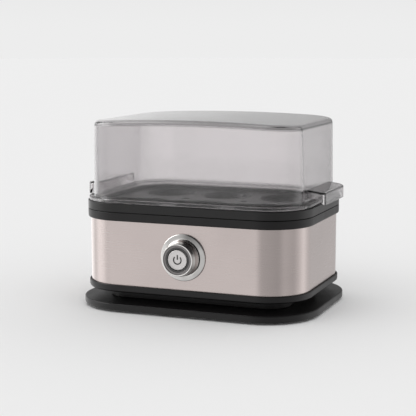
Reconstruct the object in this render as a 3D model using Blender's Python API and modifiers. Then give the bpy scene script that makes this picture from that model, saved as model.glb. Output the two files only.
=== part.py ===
"""Electric egg cooker for six eggs: stainless housing on a cord-wrap base, black egg tray, clear lid.

Metres, +Z up, front of the cooker towards -Y. z = 0 is the underside of the base plate.
"""

import math

import bmesh
import bpy
from mathutils import Matrix, Vector

# ---- overall sizes -------------------------------------------------------------------------
HALF_X = 0.0860  # half width of the steel band
HALF_Y = 0.0630  # half depth of the steel band
CORNER_R = 0.0317  # corner radius of the steel band
GAP = 0.0003  # clearance between pieces that rest on each other
CORNER_STEPS = 6

# ---- base ----------------------------------------------------------------------------------
PLATE_OUT_X = 0.0061
PLATE_OUT_Y = 0.0067
PLATE_R = CORNER_R + 0.0091
PLATE_T = 0.0053
PLATE_EDGE = 0.0009
FOOT_R = 0.0080
FOOT_STAND = 0.0015
FOOT_SET_IN = 0.0010
FOOT_X = HALF_X - 0.0200
FOOT_Y = HALF_Y - 0.0210
BASE_SCREW_X = HALF_X - 0.0400
BASE_SCREW_Y = HALF_Y - 0.0330
DRUM_INSET = 0.0150
DRUM_WALL = 0.0024
DRUM_H = 0.0057

# ---- lower housing -------------------------------------------------------------------------
FLOOR_T = 0.0024
LIP_OUT = 0.0015
LIP_H = 0.0041  # the lip and the inner wall rise from the housing's floor
GROOVE = 0.0004  # play on each side of the steel in its groove
HOUSING_WALL_H = 0.0100
HOUSING_WALL = 0.0018
POST_X = HALF_X - 0.0149
POST_Y = HALF_Y - 0.0149
BOSS_R = 0.0050
BOSS_H = 0.0060

# ---- steel band ----------------------------------------------------------------------------
STEEL_T = 0.0008
STEEL_TOP = 0.0679

# ---- upper ring ----------------------------------------------------------------------------
BAND_OUT = 0.0019  # how far the black band stands out from the steel
RING_BOTTOM = STEEL_TOP - 0.0020
RING_TOP = STEEL_TOP + 0.0042
RING_SKIRT_BOTTOM = STEEL_TOP - 0.0099
RING_WALL = 0.0020
LEDGE_TOP = STEEL_TOP - 0.0033
LEDGE_T = 0.0022
LEDGE_INSET = 0.0130
POST_R = 0.0042

# ---- water dish and heating ----------------------------------------------------------------
SEAL_T = 0.0008
DISH_T = 0.0008
DISH_DEPTH = 0.0120
DISH_INSET = 0.0146
ELEMENT_R = 0.0032
CLAMP_HOLE_R = 0.0150
CLAMP_T = 0.0012
STUD_X = 0.0215
STUD_R = 0.0020
STRAP_POST_X = HALF_X - 0.0090
STRAP_HALF_W = 0.0110
TERMINAL_IN = 0.0510  # from the rear of the steel to the middle of the terminal block
CLAMP_R = 0.0360
ELEMENT_LOOP_R = 0.0300

# ---- switch --------------------------------------------------------------------------------
SWITCH_Z = 0.0422
BEZEL_R = 0.0172
BEZEL_H = 0.0022
BARREL_R = 0.0114
COLLAR_FOOT_R = BARREL_R + 0.0019
COLLAR_RIM_R = BARREL_R + 0.0002
COLLAR_BORE_R = BARREL_R - 0.0005
SWITCH_REACH = 0.0116  # how far the collar's rim stands out from the steel
CAP_R = 0.0073
CAP_GAP = 0.0004
CAP_TRAVEL = 0.0020
STEM_R = 0.0025
SWITCH_BACK = HALF_Y - CLAMP_R - 0.0010  # the switch body reaches in to just short of the clamp

# ---- egg tray ------------------------------------------------------------------------------
TRAY_RIM_TOP = RING_TOP + 0.0066
TRAY_DECK_TOP = RING_TOP + 0.0039
TRAY_DECK_T = 0.0018
TRAY_STEP_INSET = 0.0042
EGG_PITCH_X = 0.0472
EGG_ROW_Y = 0.0268
EGG_SEAT_R = 0.0190
EGG_HOLE_R = 0.0162
CUP_WALL = 0.0014
CUP_BOTTOM = TRAY_DECK_TOP - 0.0070
VENT_R = 0.0030

# ---- lid -----------------------------------------------------------------------------------
LID_T = 0.0020
FLANGE_OUT_X = 0.0004
FLANGE_OUT_Y = 0.0009
FLANGE_R = CORNER_R - 0.0011
FLANGE_T = 0.0025
LID_FOOT_IN_X = 0.0038
LID_FOOT_IN_Y = 0.0017
LID_FOOT_R = CORNER_R - 0.0047
LID_TOP_IN_X = 0.0052
LID_TOP_IN_Y = 0.0030
LID_TOP_R = CORNER_R - 0.0084
LID_WALL_TOP = TRAY_RIM_TOP + 0.0563
LID_SHOULDER_TOP = LID_WALL_TOP + 0.0030
LID_SHOULDER_IN = 0.0023
LID_CROWN = 0.0022
GRIP_HALF_Y = 0.0280
GRIP_REACH = HALF_X + 0.0084  # outer face of the grip's lip, from the middle
GRIP_TOP_IN = TRAY_RIM_TOP + 0.0121
GRIP_TOP_OUT = TRAY_RIM_TOP + 0.0102
GRIP_LIP_BOTTOM = TRAY_RIM_TOP + 0.0010
GRIP_T = 0.0018
GRIP_WEB_BOTTOM = TRAY_RIM_TOP + 0.0056


# ---- tools ---------------------------------------------------------------------------------
def fresh_scene():
    for obj in list(bpy.data.objects):
        bpy.data.objects.remove(obj, do_unlink=True)
    for mesh in list(bpy.data.meshes):
        bpy.data.meshes.remove(mesh)


def new_collection(name, wire=False):
    coll = bpy.data.collections.new(name)
    bpy.context.scene.collection.children.link(coll)
    coll.hide_render = wire
    return coll


fresh_scene()
PARTS = new_collection("egg_cooker")
CUTTERS = new_collection("cutters", wire=True)


def srgb(code):
    out = []
    for i in (0, 2, 4):
        c = int(code[i : i + 2], 16) / 255
        out.append(c / 12.92 if c <= 0.04045 else ((c + 0.055) / 1.055) ** 2.4)
    return (*out, 1.0)


def material(name, code, rough, metal=0.0, alpha=1.0):
    mat = bpy.data.materials.new(name)
    mat.use_nodes = True
    shader = mat.node_tree.nodes["Principled BSDF"]
    shader.inputs["Base Color"].default_value = srgb(code)
    shader.inputs["Roughness"].default_value = rough
    shader.inputs["Metallic"].default_value = metal
    shader.inputs["Alpha"].default_value = alpha
    return mat


LOOKS = {
    "black_plastic": ("242322", 0.45, 0.0, 1.0),
    "inner_plastic": ("3A3A3A", 0.6, 0.0, 1.0),
    "rubber": ("1B1B1B", 0.8, 0.0, 1.0),
    "steel": ("C3BAB6", 0.3, 1.0, 1.0),
    "zinc": ("A9ABAD", 0.4, 1.0, 1.0),
    "chrome": ("D8D6D4", 0.08, 1.0, 1.0),
    "aluminium": ("B8BABC", 0.35, 1.0, 1.0),
    "silicone": ("B9B4AE", 0.7, 0.0, 1.0),
    "smoke": ("3B3838", 0.2, 0.0, 1.0),
    "silver": ("BDBBBA", 0.3, 0.6, 1.0),
    "mark": ("4A4848", 0.5, 0.0, 1.0),
    "clear": ("DCD9DA", 0.05, 0.0, 0.35),
    "red_wire": ("7B2A22", 0.5, 0.0, 1.0),
    "blue_wire": ("24406E", 0.5, 0.0, 1.0),
    "white_wire": ("D7D4CC", 0.5, 0.0, 1.0),
    "board": ("2F5A3C", 0.5, 0.0, 1.0),
    "ceramic": ("CFC7B8", 0.6, 0.0, 1.0),
}


def dress(obj, look):
    code, rough, metal, alpha = LOOKS[look]
    obj.data.materials.append(material(obj.name, code, rough, metal, alpha))


def add(name, bm, look=None):
    """Mesh object from bm: a part when it has a look, else a cutter."""
    bmesh.ops.recalc_face_normals(bm, faces=bm.faces)
    mesh = bpy.data.meshes.new(name)
    bm.to_mesh(mesh)
    bm.free()
    obj = bpy.data.objects.new(name, mesh)
    if look:
        PARTS.objects.link(obj)
        dress(obj, look)
    else:
        CUTTERS.objects.link(obj)
        obj.display_type = "WIRE"
        obj.hide_render = True
    return obj


def boolean(obj, other, operation="DIFFERENCE"):
    mod = obj.modifiers.new(other.name, "BOOLEAN")
    mod.operation = operation
    mod.solver = "EXACT"
    mod.object = other


def oval(half_x, half_y, r, z, crown=0.0, crown_x=None, splits=1):
    """Rounded rectangle, counter-clockwise, as a list of points."""
    r = max(r, 0.0015)
    pts = []
    corners = ((1, 1, 0), (-1, 1, 90), (-1, -1, 180), (1, -1, 270))
    for sx, sy, start in corners:
        cx, cy = sx * (half_x - r), sy * (half_y - r)
        for i in range(CORNER_STEPS + 1):
            a = math.radians(start + 90 * i / CORNER_STEPS)
            pts.append((cx + r * math.cos(a), cy + r * math.sin(a)))
        if start in (0, 180):
            run = 2 * (half_x - r)
            for i in range(1, splits):
                pts.append((cx - sx * run * i / splits, cy + sy * r))
    reach = crown_x or half_x
    return [(x, y, z + crown * (1 - (x / reach) ** 2)) for x, y in pts]


def around(inset, z):
    """Outline of the housing, moved in by inset."""
    return oval(HALF_X - inset, HALF_Y - inset, CORNER_R - inset, z)


def loft(name, loops, look, ring=False, poles=None):
    """Closed body through a row of outlines: a ring, or ended by flat caps or by two middle points."""
    bm = bmesh.new()
    rows = [[bm.verts.new(p) for p in loop] for loop in loops]
    n = len(rows[0])
    pairs = list(zip(rows, rows[1:]))
    if ring:
        pairs.append((rows[-1], rows[0]))
    for low, high in pairs:
        for i in range(n):
            j = (i + 1) % n
            bm.faces.new((low[i], low[j], high[j], high[i]))
    if poles:
        for row, z in zip((rows[0], rows[-1]), poles):
            tip = bm.verts.new((0, 0, z))
            for i in range(n):
                bm.faces.new((row[i], row[(i + 1) % n], tip))
    elif not ring:
        bm.faces.new(rows[0])
        bm.faces.new(rows[-1])
    return add(name, bm, look)


def turned(name, profile, steps, look=None, places=((0, 0, 0),), closed=False):
    """Profile of (radius, height) points turned about Z, once at each place."""
    bm = bmesh.new()
    for place in places:
        made = [bm.verts.new((r, 0, z)) for r, z in profile]
        ends = list(zip(made, made[1:]))
        if closed:
            ends.append((made[-1], made[0]))
        edges = [bm.edges.new(pair) for pair in ends]
        before = set(bm.verts) - set(made)
        bmesh.ops.spin(
            bm, geom=made + edges, cent=(0, 0, 0), axis=(0, 0, 1), angle=2 * math.pi, steps=steps
        )
        fresh = [v for v in bm.verts if v not in before]
        bmesh.ops.remove_doubles(bm, verts=fresh, dist=1e-6)
        fresh = [v for v in bm.verts if v not in before]
        bmesh.ops.translate(bm, verts=fresh, vec=Vector(place))
    return add(name, bm, look)


def turned_set(name, profile, steps, look, places, closed=False):
    """One separate body at each place, numbered."""
    made = []
    for number, place in enumerate(places, 1):
        made.append(turned(f"{name}_{number}", profile, steps, look, places=[place], closed=closed))
    return made


def rod(radius, low, high):
    return [(0, high), (radius, high), (radius, low), (0, low)]


def disc_ring(outer, inner, low, high):
    return [(outer, high), (outer, low), (inner, low), (inner, high)]


def block(name, low, high, look=None, edge=0.0):
    bm = bmesh.new()
    size = [h - l for l, h in zip(low, high)]
    middle = [(h + l) / 2 for l, h in zip(low, high)]
    turn = Matrix.Translation(middle) @ Matrix.Diagonal((*size, 1))
    bmesh.ops.create_cube(bm, size=1.0, matrix=turn)
    obj = add(name, bm, look)
    if edge:
        mod = obj.modifiers.new("edges", "BEVEL")
        mod.width = edge
        mod.segments = 2
    return obj


def extruded(name, outline, low, high, look=None):
    """Outline of (x, z) points drawn out along Y."""
    bm = bmesh.new()
    front = [bm.verts.new((x, low, z)) for x, z in outline]
    back = [bm.verts.new((x, high, z)) for x, z in outline]
    n = len(outline)
    bm.faces.new(front)
    bm.faces.new(back)
    for i in range(n):
        j = (i + 1) % n
        bm.faces.new((front[i], front[j], back[j], back[i]))
    return add(name, bm, look)


def tube(name, points, radius, look, radii=None, smooth=False, sides=1):
    """Round bar along the points."""
    curve = bpy.data.curves.new(name, "CURVE")
    curve.dimensions = "3D"
    curve.bevel_depth = radius
    curve.bevel_resolution = sides
    curve.use_fill_caps = True
    if smooth:
        line = curve.splines.new("BEZIER")
        line.bezier_points.add(len(points) - 1)
        for knot, p in zip(line.bezier_points, points):
            knot.co = p
            knot.handle_left_type = "AUTO"
            knot.handle_right_type = "AUTO"
        curve.resolution_u = 4
    else:
        line = curve.splines.new("POLY")
        line.points.add(len(points) - 1)
        for i, p in enumerate(points):
            line.points[i].co = (*p, 1)
            if radii:
                line.points[i].radius = radii[i]
    obj = bpy.data.objects.new(name, curve)
    PARTS.objects.link(obj)
    dress(obj, look)
    return obj


def four(x, y, z=0.0):
    return [(sx * x, sy * y, z) for sx in (1, -1) for sy in (1, -1)]


def two(x, z=0.0):
    return [(x, 0, z), (-x, 0, z)]


# ---- levels that follow from the sizes -----------------------------------------------------
DRUM_Z0 = PLATE_T + GAP
DRUM_Z1 = DRUM_Z0 + DRUM_H
FLOOR_Z0 = DRUM_Z1 + GAP
FLOOR_Z1 = FLOOR_Z0 + FLOOR_T
STEEL_Z0 = FLOOR_Z1 + 0.0009
LIP_TOP = FLOOR_Z1 + LIP_H
HOUSING_WALL_TOP = FLOOR_Z1 + HOUSING_WALL_H
SEAL_Z0 = LEDGE_TOP + GAP
DISH_FLANGE_Z0 = SEAL_Z0 + SEAL_T + GAP
DISH_Z0 = DISH_FLANGE_Z0 - DISH_DEPTH
ELEMENT_Z = DISH_Z0 - GAP - ELEMENT_R
CLAMP_Z1 = ELEMENT_Z - ELEMENT_R - GAP
CLAMP_Z0 = CLAMP_Z1 - CLAMP_T
STRAP_Z1 = CLAMP_Z0 - GAP
STRAP_Z0 = STRAP_Z1 - CLAMP_T
LID_Z0 = TRAY_RIM_TOP + GAP
FLANGE_Z1 = LID_Z0 + FLANGE_T


# ---- base ----------------------------------------------------------------------------------
def base():
    def edge(inset, z):
        half_x = HALF_X + PLATE_OUT_X - inset
        half_y = HALF_Y + PLATE_OUT_Y - inset
        return oval(half_x, half_y, PLATE_R - inset, z)

    plate = loft(
        "base_plate",
        [
            edge(PLATE_EDGE, 0),
            edge(0, PLATE_EDGE),
            edge(0, PLATE_T - PLATE_EDGE),
            edge(PLATE_EDGE, PLATE_T),
        ],
        "black_plastic",
    )
    seats = turned(
        "cut_foot_seats",
        rod(FOOT_R + 2 * GAP, -0.001, FOOT_SET_IN + GAP),
        16,
        places=four(FOOT_X, FOOT_Y),
    )
    boolean(plate, seats)
    bores = turned(
        "cut_base_bores",
        [(0, 0.008), (0.0022, 0.008), (0.0022, 0.0026), (0.0045, 0.0026), (0.0045, -0.001), (0, -0.001)],
        12,
        places=four(BASE_SCREW_X, BASE_SCREW_Y),
    )
    boolean(plate, bores)

    names = {(1, 1): "rear_right", (1, -1): "front_right", (-1, 1): "rear_left", (-1, -1): "front_left"}
    for (sx, sy), side in names.items():
        turned(
            "foot_" + side,
            [
                (0, FOOT_SET_IN),
                (FOOT_R, FOOT_SET_IN),
                (FOOT_R, -FOOT_STAND + 0.0005),
                (FOOT_R - 0.0006, -FOOT_STAND),
                (0, -FOOT_STAND),
            ],
            16,
            "rubber",
            places=[(sx * FOOT_X, sy * FOOT_Y, 0)],
        )

    turned_set(
        "base_screw",
        [(0, FLOOR_Z1 - 0.002), (0.0016, FLOOR_Z1 - 0.002), (0.0016, 0.0023), (0.0036, 0.0023),
         (0.0036, 0.0012), (0.0026, 0.0005), (0, 0.0005)],
        10,
        "zinc",
        four(BASE_SCREW_X, BASE_SCREW_Y),
    )

    inner = DRUM_INSET + DRUM_WALL
    drum = loft(
        "cord_drum",
        [
            around(DRUM_INSET, DRUM_Z0),
            around(DRUM_INSET, DRUM_Z1),
            around(inner, DRUM_Z1),
            around(inner, DRUM_Z0),
        ],
        "black_plastic",
        ring=True,
    )
    middle = (DRUM_Z0 + DRUM_Z1) / 2
    rear = HALF_Y - DRUM_INSET
    boolean(drum, block("cut_gland", (-0.0050, rear - 0.006, middle - 0.0023), (0.0050, rear + 0.006, middle + 0.0023)))
    gland = block(
        "cord_gland",
        (-0.0047, rear - 0.0050, middle - 0.0020),
        (0.0047, rear + 0.0030, middle + 0.0020),
        "rubber",
        edge=0.0006,
    )
    boolean(gland, block("cut_cord_way", (-0.0030, rear - 0.01, middle - 0.0013), (0.0030, rear + 0.01, middle + 0.0013)))


# ---- lower housing and steel band ----------------------------------------------------------
def lower_housing():
    groove_in = STEEL_T + GROOVE
    wall_in = groove_in + HOUSING_WALL
    body = loft(
        "lower_housing",
        [
            around(0.010, FLOOR_Z0),
            around(0.003, FLOOR_Z0 + 0.0004),
            around(-LIP_OUT + 0.0006, FLOOR_Z0 + 0.0014),
            around(-LIP_OUT, FLOOR_Z0 + 0.0024),
            around(-LIP_OUT, LIP_TOP - 0.0005),
            around(-LIP_OUT + 0.0004, LIP_TOP),
            around(-GROOVE, LIP_TOP),
            around(-GROOVE, STEEL_Z0 - GAP),
            around(groove_in, STEEL_Z0 - GAP),
            around(groove_in, HOUSING_WALL_TOP),
            around(wall_in, HOUSING_WALL_TOP),
            around(wall_in, FLOOR_Z1),
        ],
        "black_plastic",
    )
    top = turned(
        "add_post_bosses", rod(BOSS_R, FLOOR_Z1 - 0.001, FLOOR_Z1 + BOSS_H), 12, places=four(POST_X, POST_Y)
    )
    boolean(body, top, "UNION")
    under = turned(
        "add_base_bosses",
        rod(0.0040, DRUM_Z0, FLOOR_Z0 + 0.001),
        12,
        places=four(BASE_SCREW_X, BASE_SCREW_Y),
    )
    boolean(body, under, "UNION")
    seat = FLOOR_Z1 + 0.0030
    bores = turned(
        "cut_post_bores",
        [(0, FLOOR_Z1 + 0.02), (0.0019, FLOOR_Z1 + 0.02), (0.0019, seat), (0.0036, seat),
         (0.0036, FLOOR_Z0 - 0.01), (0, FLOOR_Z0 - 0.01)],
        12,
        places=four(POST_X, POST_Y),
    )
    boolean(body, bores)
    blind = turned(
        "cut_base_pilots",
        rod(0.0020, DRUM_Z0 - 0.002, FLOOR_Z1 - 0.0010),
        12,
        places=four(BASE_SCREW_X, BASE_SCREW_Y),
    )
    boolean(body, blind)
    way = turned("cut_wire_way", rod(0.0055, FLOOR_Z0 - 0.01, FLOOR_Z1 + 0.01), 16, places=[(0, HALF_Y - 0.0350, 0)])
    boolean(body, way)
    boolean(body, switch_relief("cut_lip_relief"))

    turned_set(
        "housing_screw",
        [(0, seat + 0.0120), (0.0014, seat + 0.0120), (0.0014, seat - GAP), (0.0032, seat - GAP),
         (0.0032, seat - 0.0014), (0.0022, seat - 0.0020), (0, seat - 0.0020)],
        10,
        "zinc",
        four(POST_X, POST_Y),
    )


def steel_shell():
    shell = loft(
        "steel_shell",
        [
            around(0, STEEL_Z0),
            around(0, STEEL_TOP),
            around(STEEL_T, STEEL_TOP),
            around(STEEL_T, STEEL_Z0),
        ],
        "steel",
        ring=True,
    )
    hole = turned("cut_switch_hole", rod(BARREL_R + 0.0005, -0.01, 0.01), 32)
    place_on_front(hole)
    boolean(shell, hole)


def switch_relief(name):
    """Room for the bezel and the nut, for whatever is near the switch to be cut back by."""
    room = turned(name, rod(BEZEL_R + GAP, -0.0050, 0.0050), 36)
    place_on_front(room)
    return room


def place_on_front(obj):
    """Local +Z points out of the front, from the steel's outer face."""
    obj.location = (0, -HALF_Y, SWITCH_Z)
    obj.rotation_euler = (math.pi / 2, 0, 0)


# ---- upper ring ----------------------------------------------------------------------------
def upper_ring():
    groove_in = STEEL_T + GROOVE
    wall_in = groove_in + RING_WALL
    roof = STEEL_TOP + GROOVE
    ring = loft(
        "upper_ring",
        [
            around(wall_in, RING_SKIRT_BOTTOM),
            around(groove_in, RING_SKIRT_BOTTOM),
            around(groove_in, roof),
            around(-GROOVE, roof),
            around(-GROOVE, RING_BOTTOM),
            around(-BAND_OUT + 0.0009, RING_BOTTOM),
            around(-BAND_OUT + 0.0003, RING_BOTTOM + 0.0006),
            around(-BAND_OUT, RING_BOTTOM + 0.0015),
            around(-BAND_OUT, RING_TOP - 0.0003),
            around(-BAND_OUT + 0.0003, RING_TOP),
            around(wall_in, RING_TOP),
            around(wall_in, LEDGE_TOP),
            around(LEDGE_INSET, LEDGE_TOP),
            around(LEDGE_INSET, LEDGE_TOP - LEDGE_T),
            around(wall_in, LEDGE_TOP - LEDGE_T),
        ],
        "black_plastic",
        ring=True,
    )
    low = FLOOR_Z1 + BOSS_H + GAP
    posts = turned("add_posts", rod(POST_R, low, LEDGE_TOP - 0.001), 12, places=four(POST_X, POST_Y))
    boolean(ring, posts, "UNION")
    pilots = turned("cut_post_pilots", rod(0.0017, low - 0.001, low + 0.0130), 8, places=four(POST_X, POST_Y))
    boolean(ring, pilots)
    low = STRAP_Z1 + GAP
    posts = turned("add_strap_posts", rod(0.0040, low, LEDGE_TOP - 0.001), 12, places=two(STRAP_POST_X))
    boolean(ring, posts, "UNION")
    boolean(ring, switch_relief("cut_skirt_relief"))
    pilots = turned("cut_strap_pilots", rod(0.0017, low - 0.001, low + 0.0090), 8, places=two(STRAP_POST_X))
    boolean(ring, pilots)


# ---- water dish and what is under it -------------------------------------------------------
def heating():
    low = DISH_FLANGE_Z0
    outer = STEEL_T + GROOVE + RING_WALL + 0.0008
    loft(
        "water_dish",
        [
            around(DISH_INSET + 0.0056, DISH_Z0),
            around(DISH_INSET + 0.0030, DISH_Z0 + 0.0010),
            around(DISH_INSET + 0.0004, low - 0.0006),
            around(DISH_INSET - 0.0004, low),
            around(outer, low),
            around(outer, low + DISH_T),
            around(DISH_INSET + 0.0004, low + DISH_T),
            around(DISH_INSET + 0.0013, low + 0.0001),
            around(DISH_INSET + 0.0038, DISH_Z0 + DISH_T + 0.0010),
            around(DISH_INSET + 0.0062, DISH_Z0 + DISH_T),
        ],
        "aluminium",
    )
    loft(
        "dish_seal",
        [
            around(outer + 0.0004, SEAL_Z0),
            around(outer + 0.0004, SEAL_Z0 + SEAL_T),
            around(LEDGE_INSET - 0.0006, SEAL_Z0 + SEAL_T),
            around(LEDGE_INSET - 0.0006, SEAL_Z0),
        ],
        "silicone",
        ring=True,
    )

    path = []
    radii = []
    loop = ELEMENT_LOOP_R
    tail = HALF_Y - 0.0210
    for i in range(29):
        a = math.radians(110 + 320 * i / 28)
        path.append((loop * math.cos(a), loop * math.sin(a), ELEMENT_Z))
    left, right = path[0][0], path[-1][0]
    path = [(left, tail + 0.006, ELEMENT_Z), (left, tail, ELEMENT_Z), (left, tail - 0.0004, ELEMENT_Z)] + path
    path += [(right, tail - 0.0004, ELEMENT_Z), (right, tail, ELEMENT_Z), (right, tail + 0.006, ELEMENT_Z)]
    radii = [0.35, 0.35, 1.0] + [1.0] * 29 + [1.0, 0.35, 0.35]
    tube("heating_element", path, ELEMENT_R, "zinc", radii=radii, sides=2)

    clamp = turned("element_clamp", disc_ring(CLAMP_R, CLAMP_HOLE_R, CLAMP_Z0, CLAMP_Z1), 40, "zinc", closed=True)
    stud_holes = turned("cut_clamp_holes", rod(STUD_R + GAP, STRAP_Z0 - 0.002, CLAMP_Z1 + 0.002), 12, places=two(STUD_X))
    boolean(clamp, stud_holes)
    top = DISH_Z0 - GAP
    turned_set(
        "clamp_stud",
        [(0, top), (0.0045, top), (0.0045, top - 0.0010), (STUD_R, top - 0.0010),
         (STUD_R, STRAP_Z0 - 0.0050), (0, STRAP_Z0 - 0.0050)],
        10,
        "zinc",
        two(STUD_X),
    )
    nut_low = STRAP_Z0 - GAP - 0.0032
    hexes = turned_set("clamp_nut", rod(0.0040, nut_low, nut_low + 0.0032), 6, "zinc", two(STUD_X))
    bore = turned("cut_nut_bores", rod(STUD_R + GAP, nut_low - 0.001, nut_low + 0.005), 12, places=two(STUD_X))
    for nut in hexes:
        boolean(nut, bore)

    end = STRAP_POST_X + 0.0045
    strap = block("dish_strap", (-end, -STRAP_HALF_W, STRAP_Z0), (end, STRAP_HALF_W, STRAP_Z1), "zinc")
    boolean(strap, stud_holes)
    boolean(strap, turned("cut_strap_eye", rod(0.0088, STRAP_Z0 - 0.002, STRAP_Z1 + 0.002), 24))
    eyes = turned("cut_strap_ends", rod(0.0018, STRAP_Z0 - 0.002, STRAP_Z1 + 0.002), 12, places=two(STRAP_POST_X))
    boolean(strap, eyes)
    turned_set(
        "strap_screw",
        [(0, STRAP_Z1 + 0.0085), (0.0014, STRAP_Z1 + 0.0085), (0.0014, STRAP_Z0 - GAP), (0.0034, STRAP_Z0 - GAP),
         (0.0034, STRAP_Z0 - 0.0016), (0.0024, STRAP_Z0 - 0.0024), (0, STRAP_Z0 - 0.0024)],
        10,
        "zinc",
        two(STRAP_POST_X),
    )

    stat = turned(
        "thermostat",
        [(0, top), (0.0110, top), (0.0110, top - 0.0020), (0.0075, top - 0.0020), (0.0075, CLAMP_Z0), (0, CLAMP_Z0)],
        24,
        "ceramic",
    )
    for sx in (1, -1):
        blade = block(
            "add_blade_" + ("r" if sx > 0 else "l"),
            (sx * 0.0040 - 0.0004, -0.0025, STRAP_Z0 - 0.0075),
            (sx * 0.0040 + 0.0004, 0.0025, CLAMP_Z0 + 0.001),
        )
        boolean(stat, blade, "UNION")

    fuse_r = 0.0021
    fuse_y = 0.0270
    fuse_z = CLAMP_Z0 - 0.0036
    fuse = turned("thermal_fuse", rod(fuse_r, -0.0065, 0.0065), 16, "white_wire")
    fuse.rotation_euler = (0, math.pi / 2, 0)
    fuse.location = (0, fuse_y, fuse_z)
    outline = [(-0.0075, 0.0033), (-0.0030, 0.0033)]
    for r, turn in ((0.0025, 1), (0.0033, -1)):
        arc = [math.radians(180 + 180 * i / 8) for i in range(9)]
        pts = [(r * math.cos(a), r * math.sin(a)) for a in arc]
        if turn > 0:
            pts = [(-r, 0.0033)] + pts + [(r, 0.0033)]
            outline = [(-0.0075, 0.0033)] + pts + [(0.0075, 0.0033)]
        else:
            pts = [(r, 0.0025)] + pts[::-1] + [(-r, 0.0025)]
            outline += [(0.0075, 0.0025)] + pts + [(-0.0075, 0.0025)]
    clip = extruded("fuse_clip", outline, -0.0030, 0.0030, "zinc")
    clip.rotation_euler = (0, 0, math.pi / 2)
    clip.location = (0, fuse_y, fuse_z)

    block_low = FLOOR_Z1 + GAP
    block_y = HALF_Y - TERMINAL_IN
    terminals = block(
        "terminal_block",
        (-0.0500, block_y - 0.0070, block_low),
        (-0.0200, block_y + 0.0070, block_low + 0.0110),
        "white_wire",
        edge=0.0008,
    )
    wells = turned(
        "cut_terminal_wells",
        rod(0.0028, block_low + 0.0050, block_low + 0.0150),
        12,
        places=[(-0.0350 + 0.0095 * i, block_y, 0) for i in (-1, 0, 1)],
    )
    boolean(terminals, wells)


def wires():
    floor = FLOOR_Z1
    drum = (DRUM_Z0 + DRUM_Z1) / 2
    rear = HALF_Y - DRUM_INSET
    enter = rear - 0.0080
    r = 0.0011
    side = floor + 0.0060
    block_y = HALF_Y - TERMINAL_IN
    for x, name, look in ((-0.0016, "live_wire", "red_wire"), (0.0016, "neutral_wire", "blue_wire")):
        y_end = block_y + (0.0035 if x < 0 else -0.0025)
        pts = [(x, enter, drum), (x, rear - 0.0150, drum + 0.0010), (x, rear - 0.0200, floor + 0.0020),
               (x - 0.0030, rear - 0.0260, floor + 0.0080), (x - 0.0130, y_end, side), (-0.0188, y_end, side)]
        tube(name, pts, r, look, smooth=True)
    z = SWITCH_Z
    back = SWITCH_BACK - HALF_Y + 0.0005
    pts = [(-0.0512, block_y, side), (-0.0600, block_y - 0.0040, side + 0.004), (-0.0560, -0.0200, side + 0.008),
           (-0.0200, -0.0240, z - 0.008), (-0.0040, back + 0.0060, z), (-0.0040, back, z)]
    tube("switch_wire", pts, r, "white_wire", smooth=True)
    pts = [(0.0040, back, z), (0.0040, back + 0.0060, z), (0.0180, -0.0200, z - 0.010), (0.0180, 0.0000, z - 0.014), (0.0040, 0.0000, STRAP_Z0 - 0.0092)]
    tube("thermostat_wire", pts, r, "red_wire", smooth=True)
    right = ELEMENT_LOOP_R * math.cos(math.radians(70))
    pts = [(right, HALF_Y - 0.0124, ELEMENT_Z), (right, HALF_Y - 0.0110, ELEMENT_Z - 0.006), (right + 0.004, HALF_Y - 0.0190, 0.0350),
           (0.0100, 0.0300, 0.0300), (0.0000, 0.0100, 0.0280), (-0.0040, 0.0000, STRAP_Z0 - 0.0092)]
    tube("element_wire", pts, r, "white_wire", smooth=True)


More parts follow.
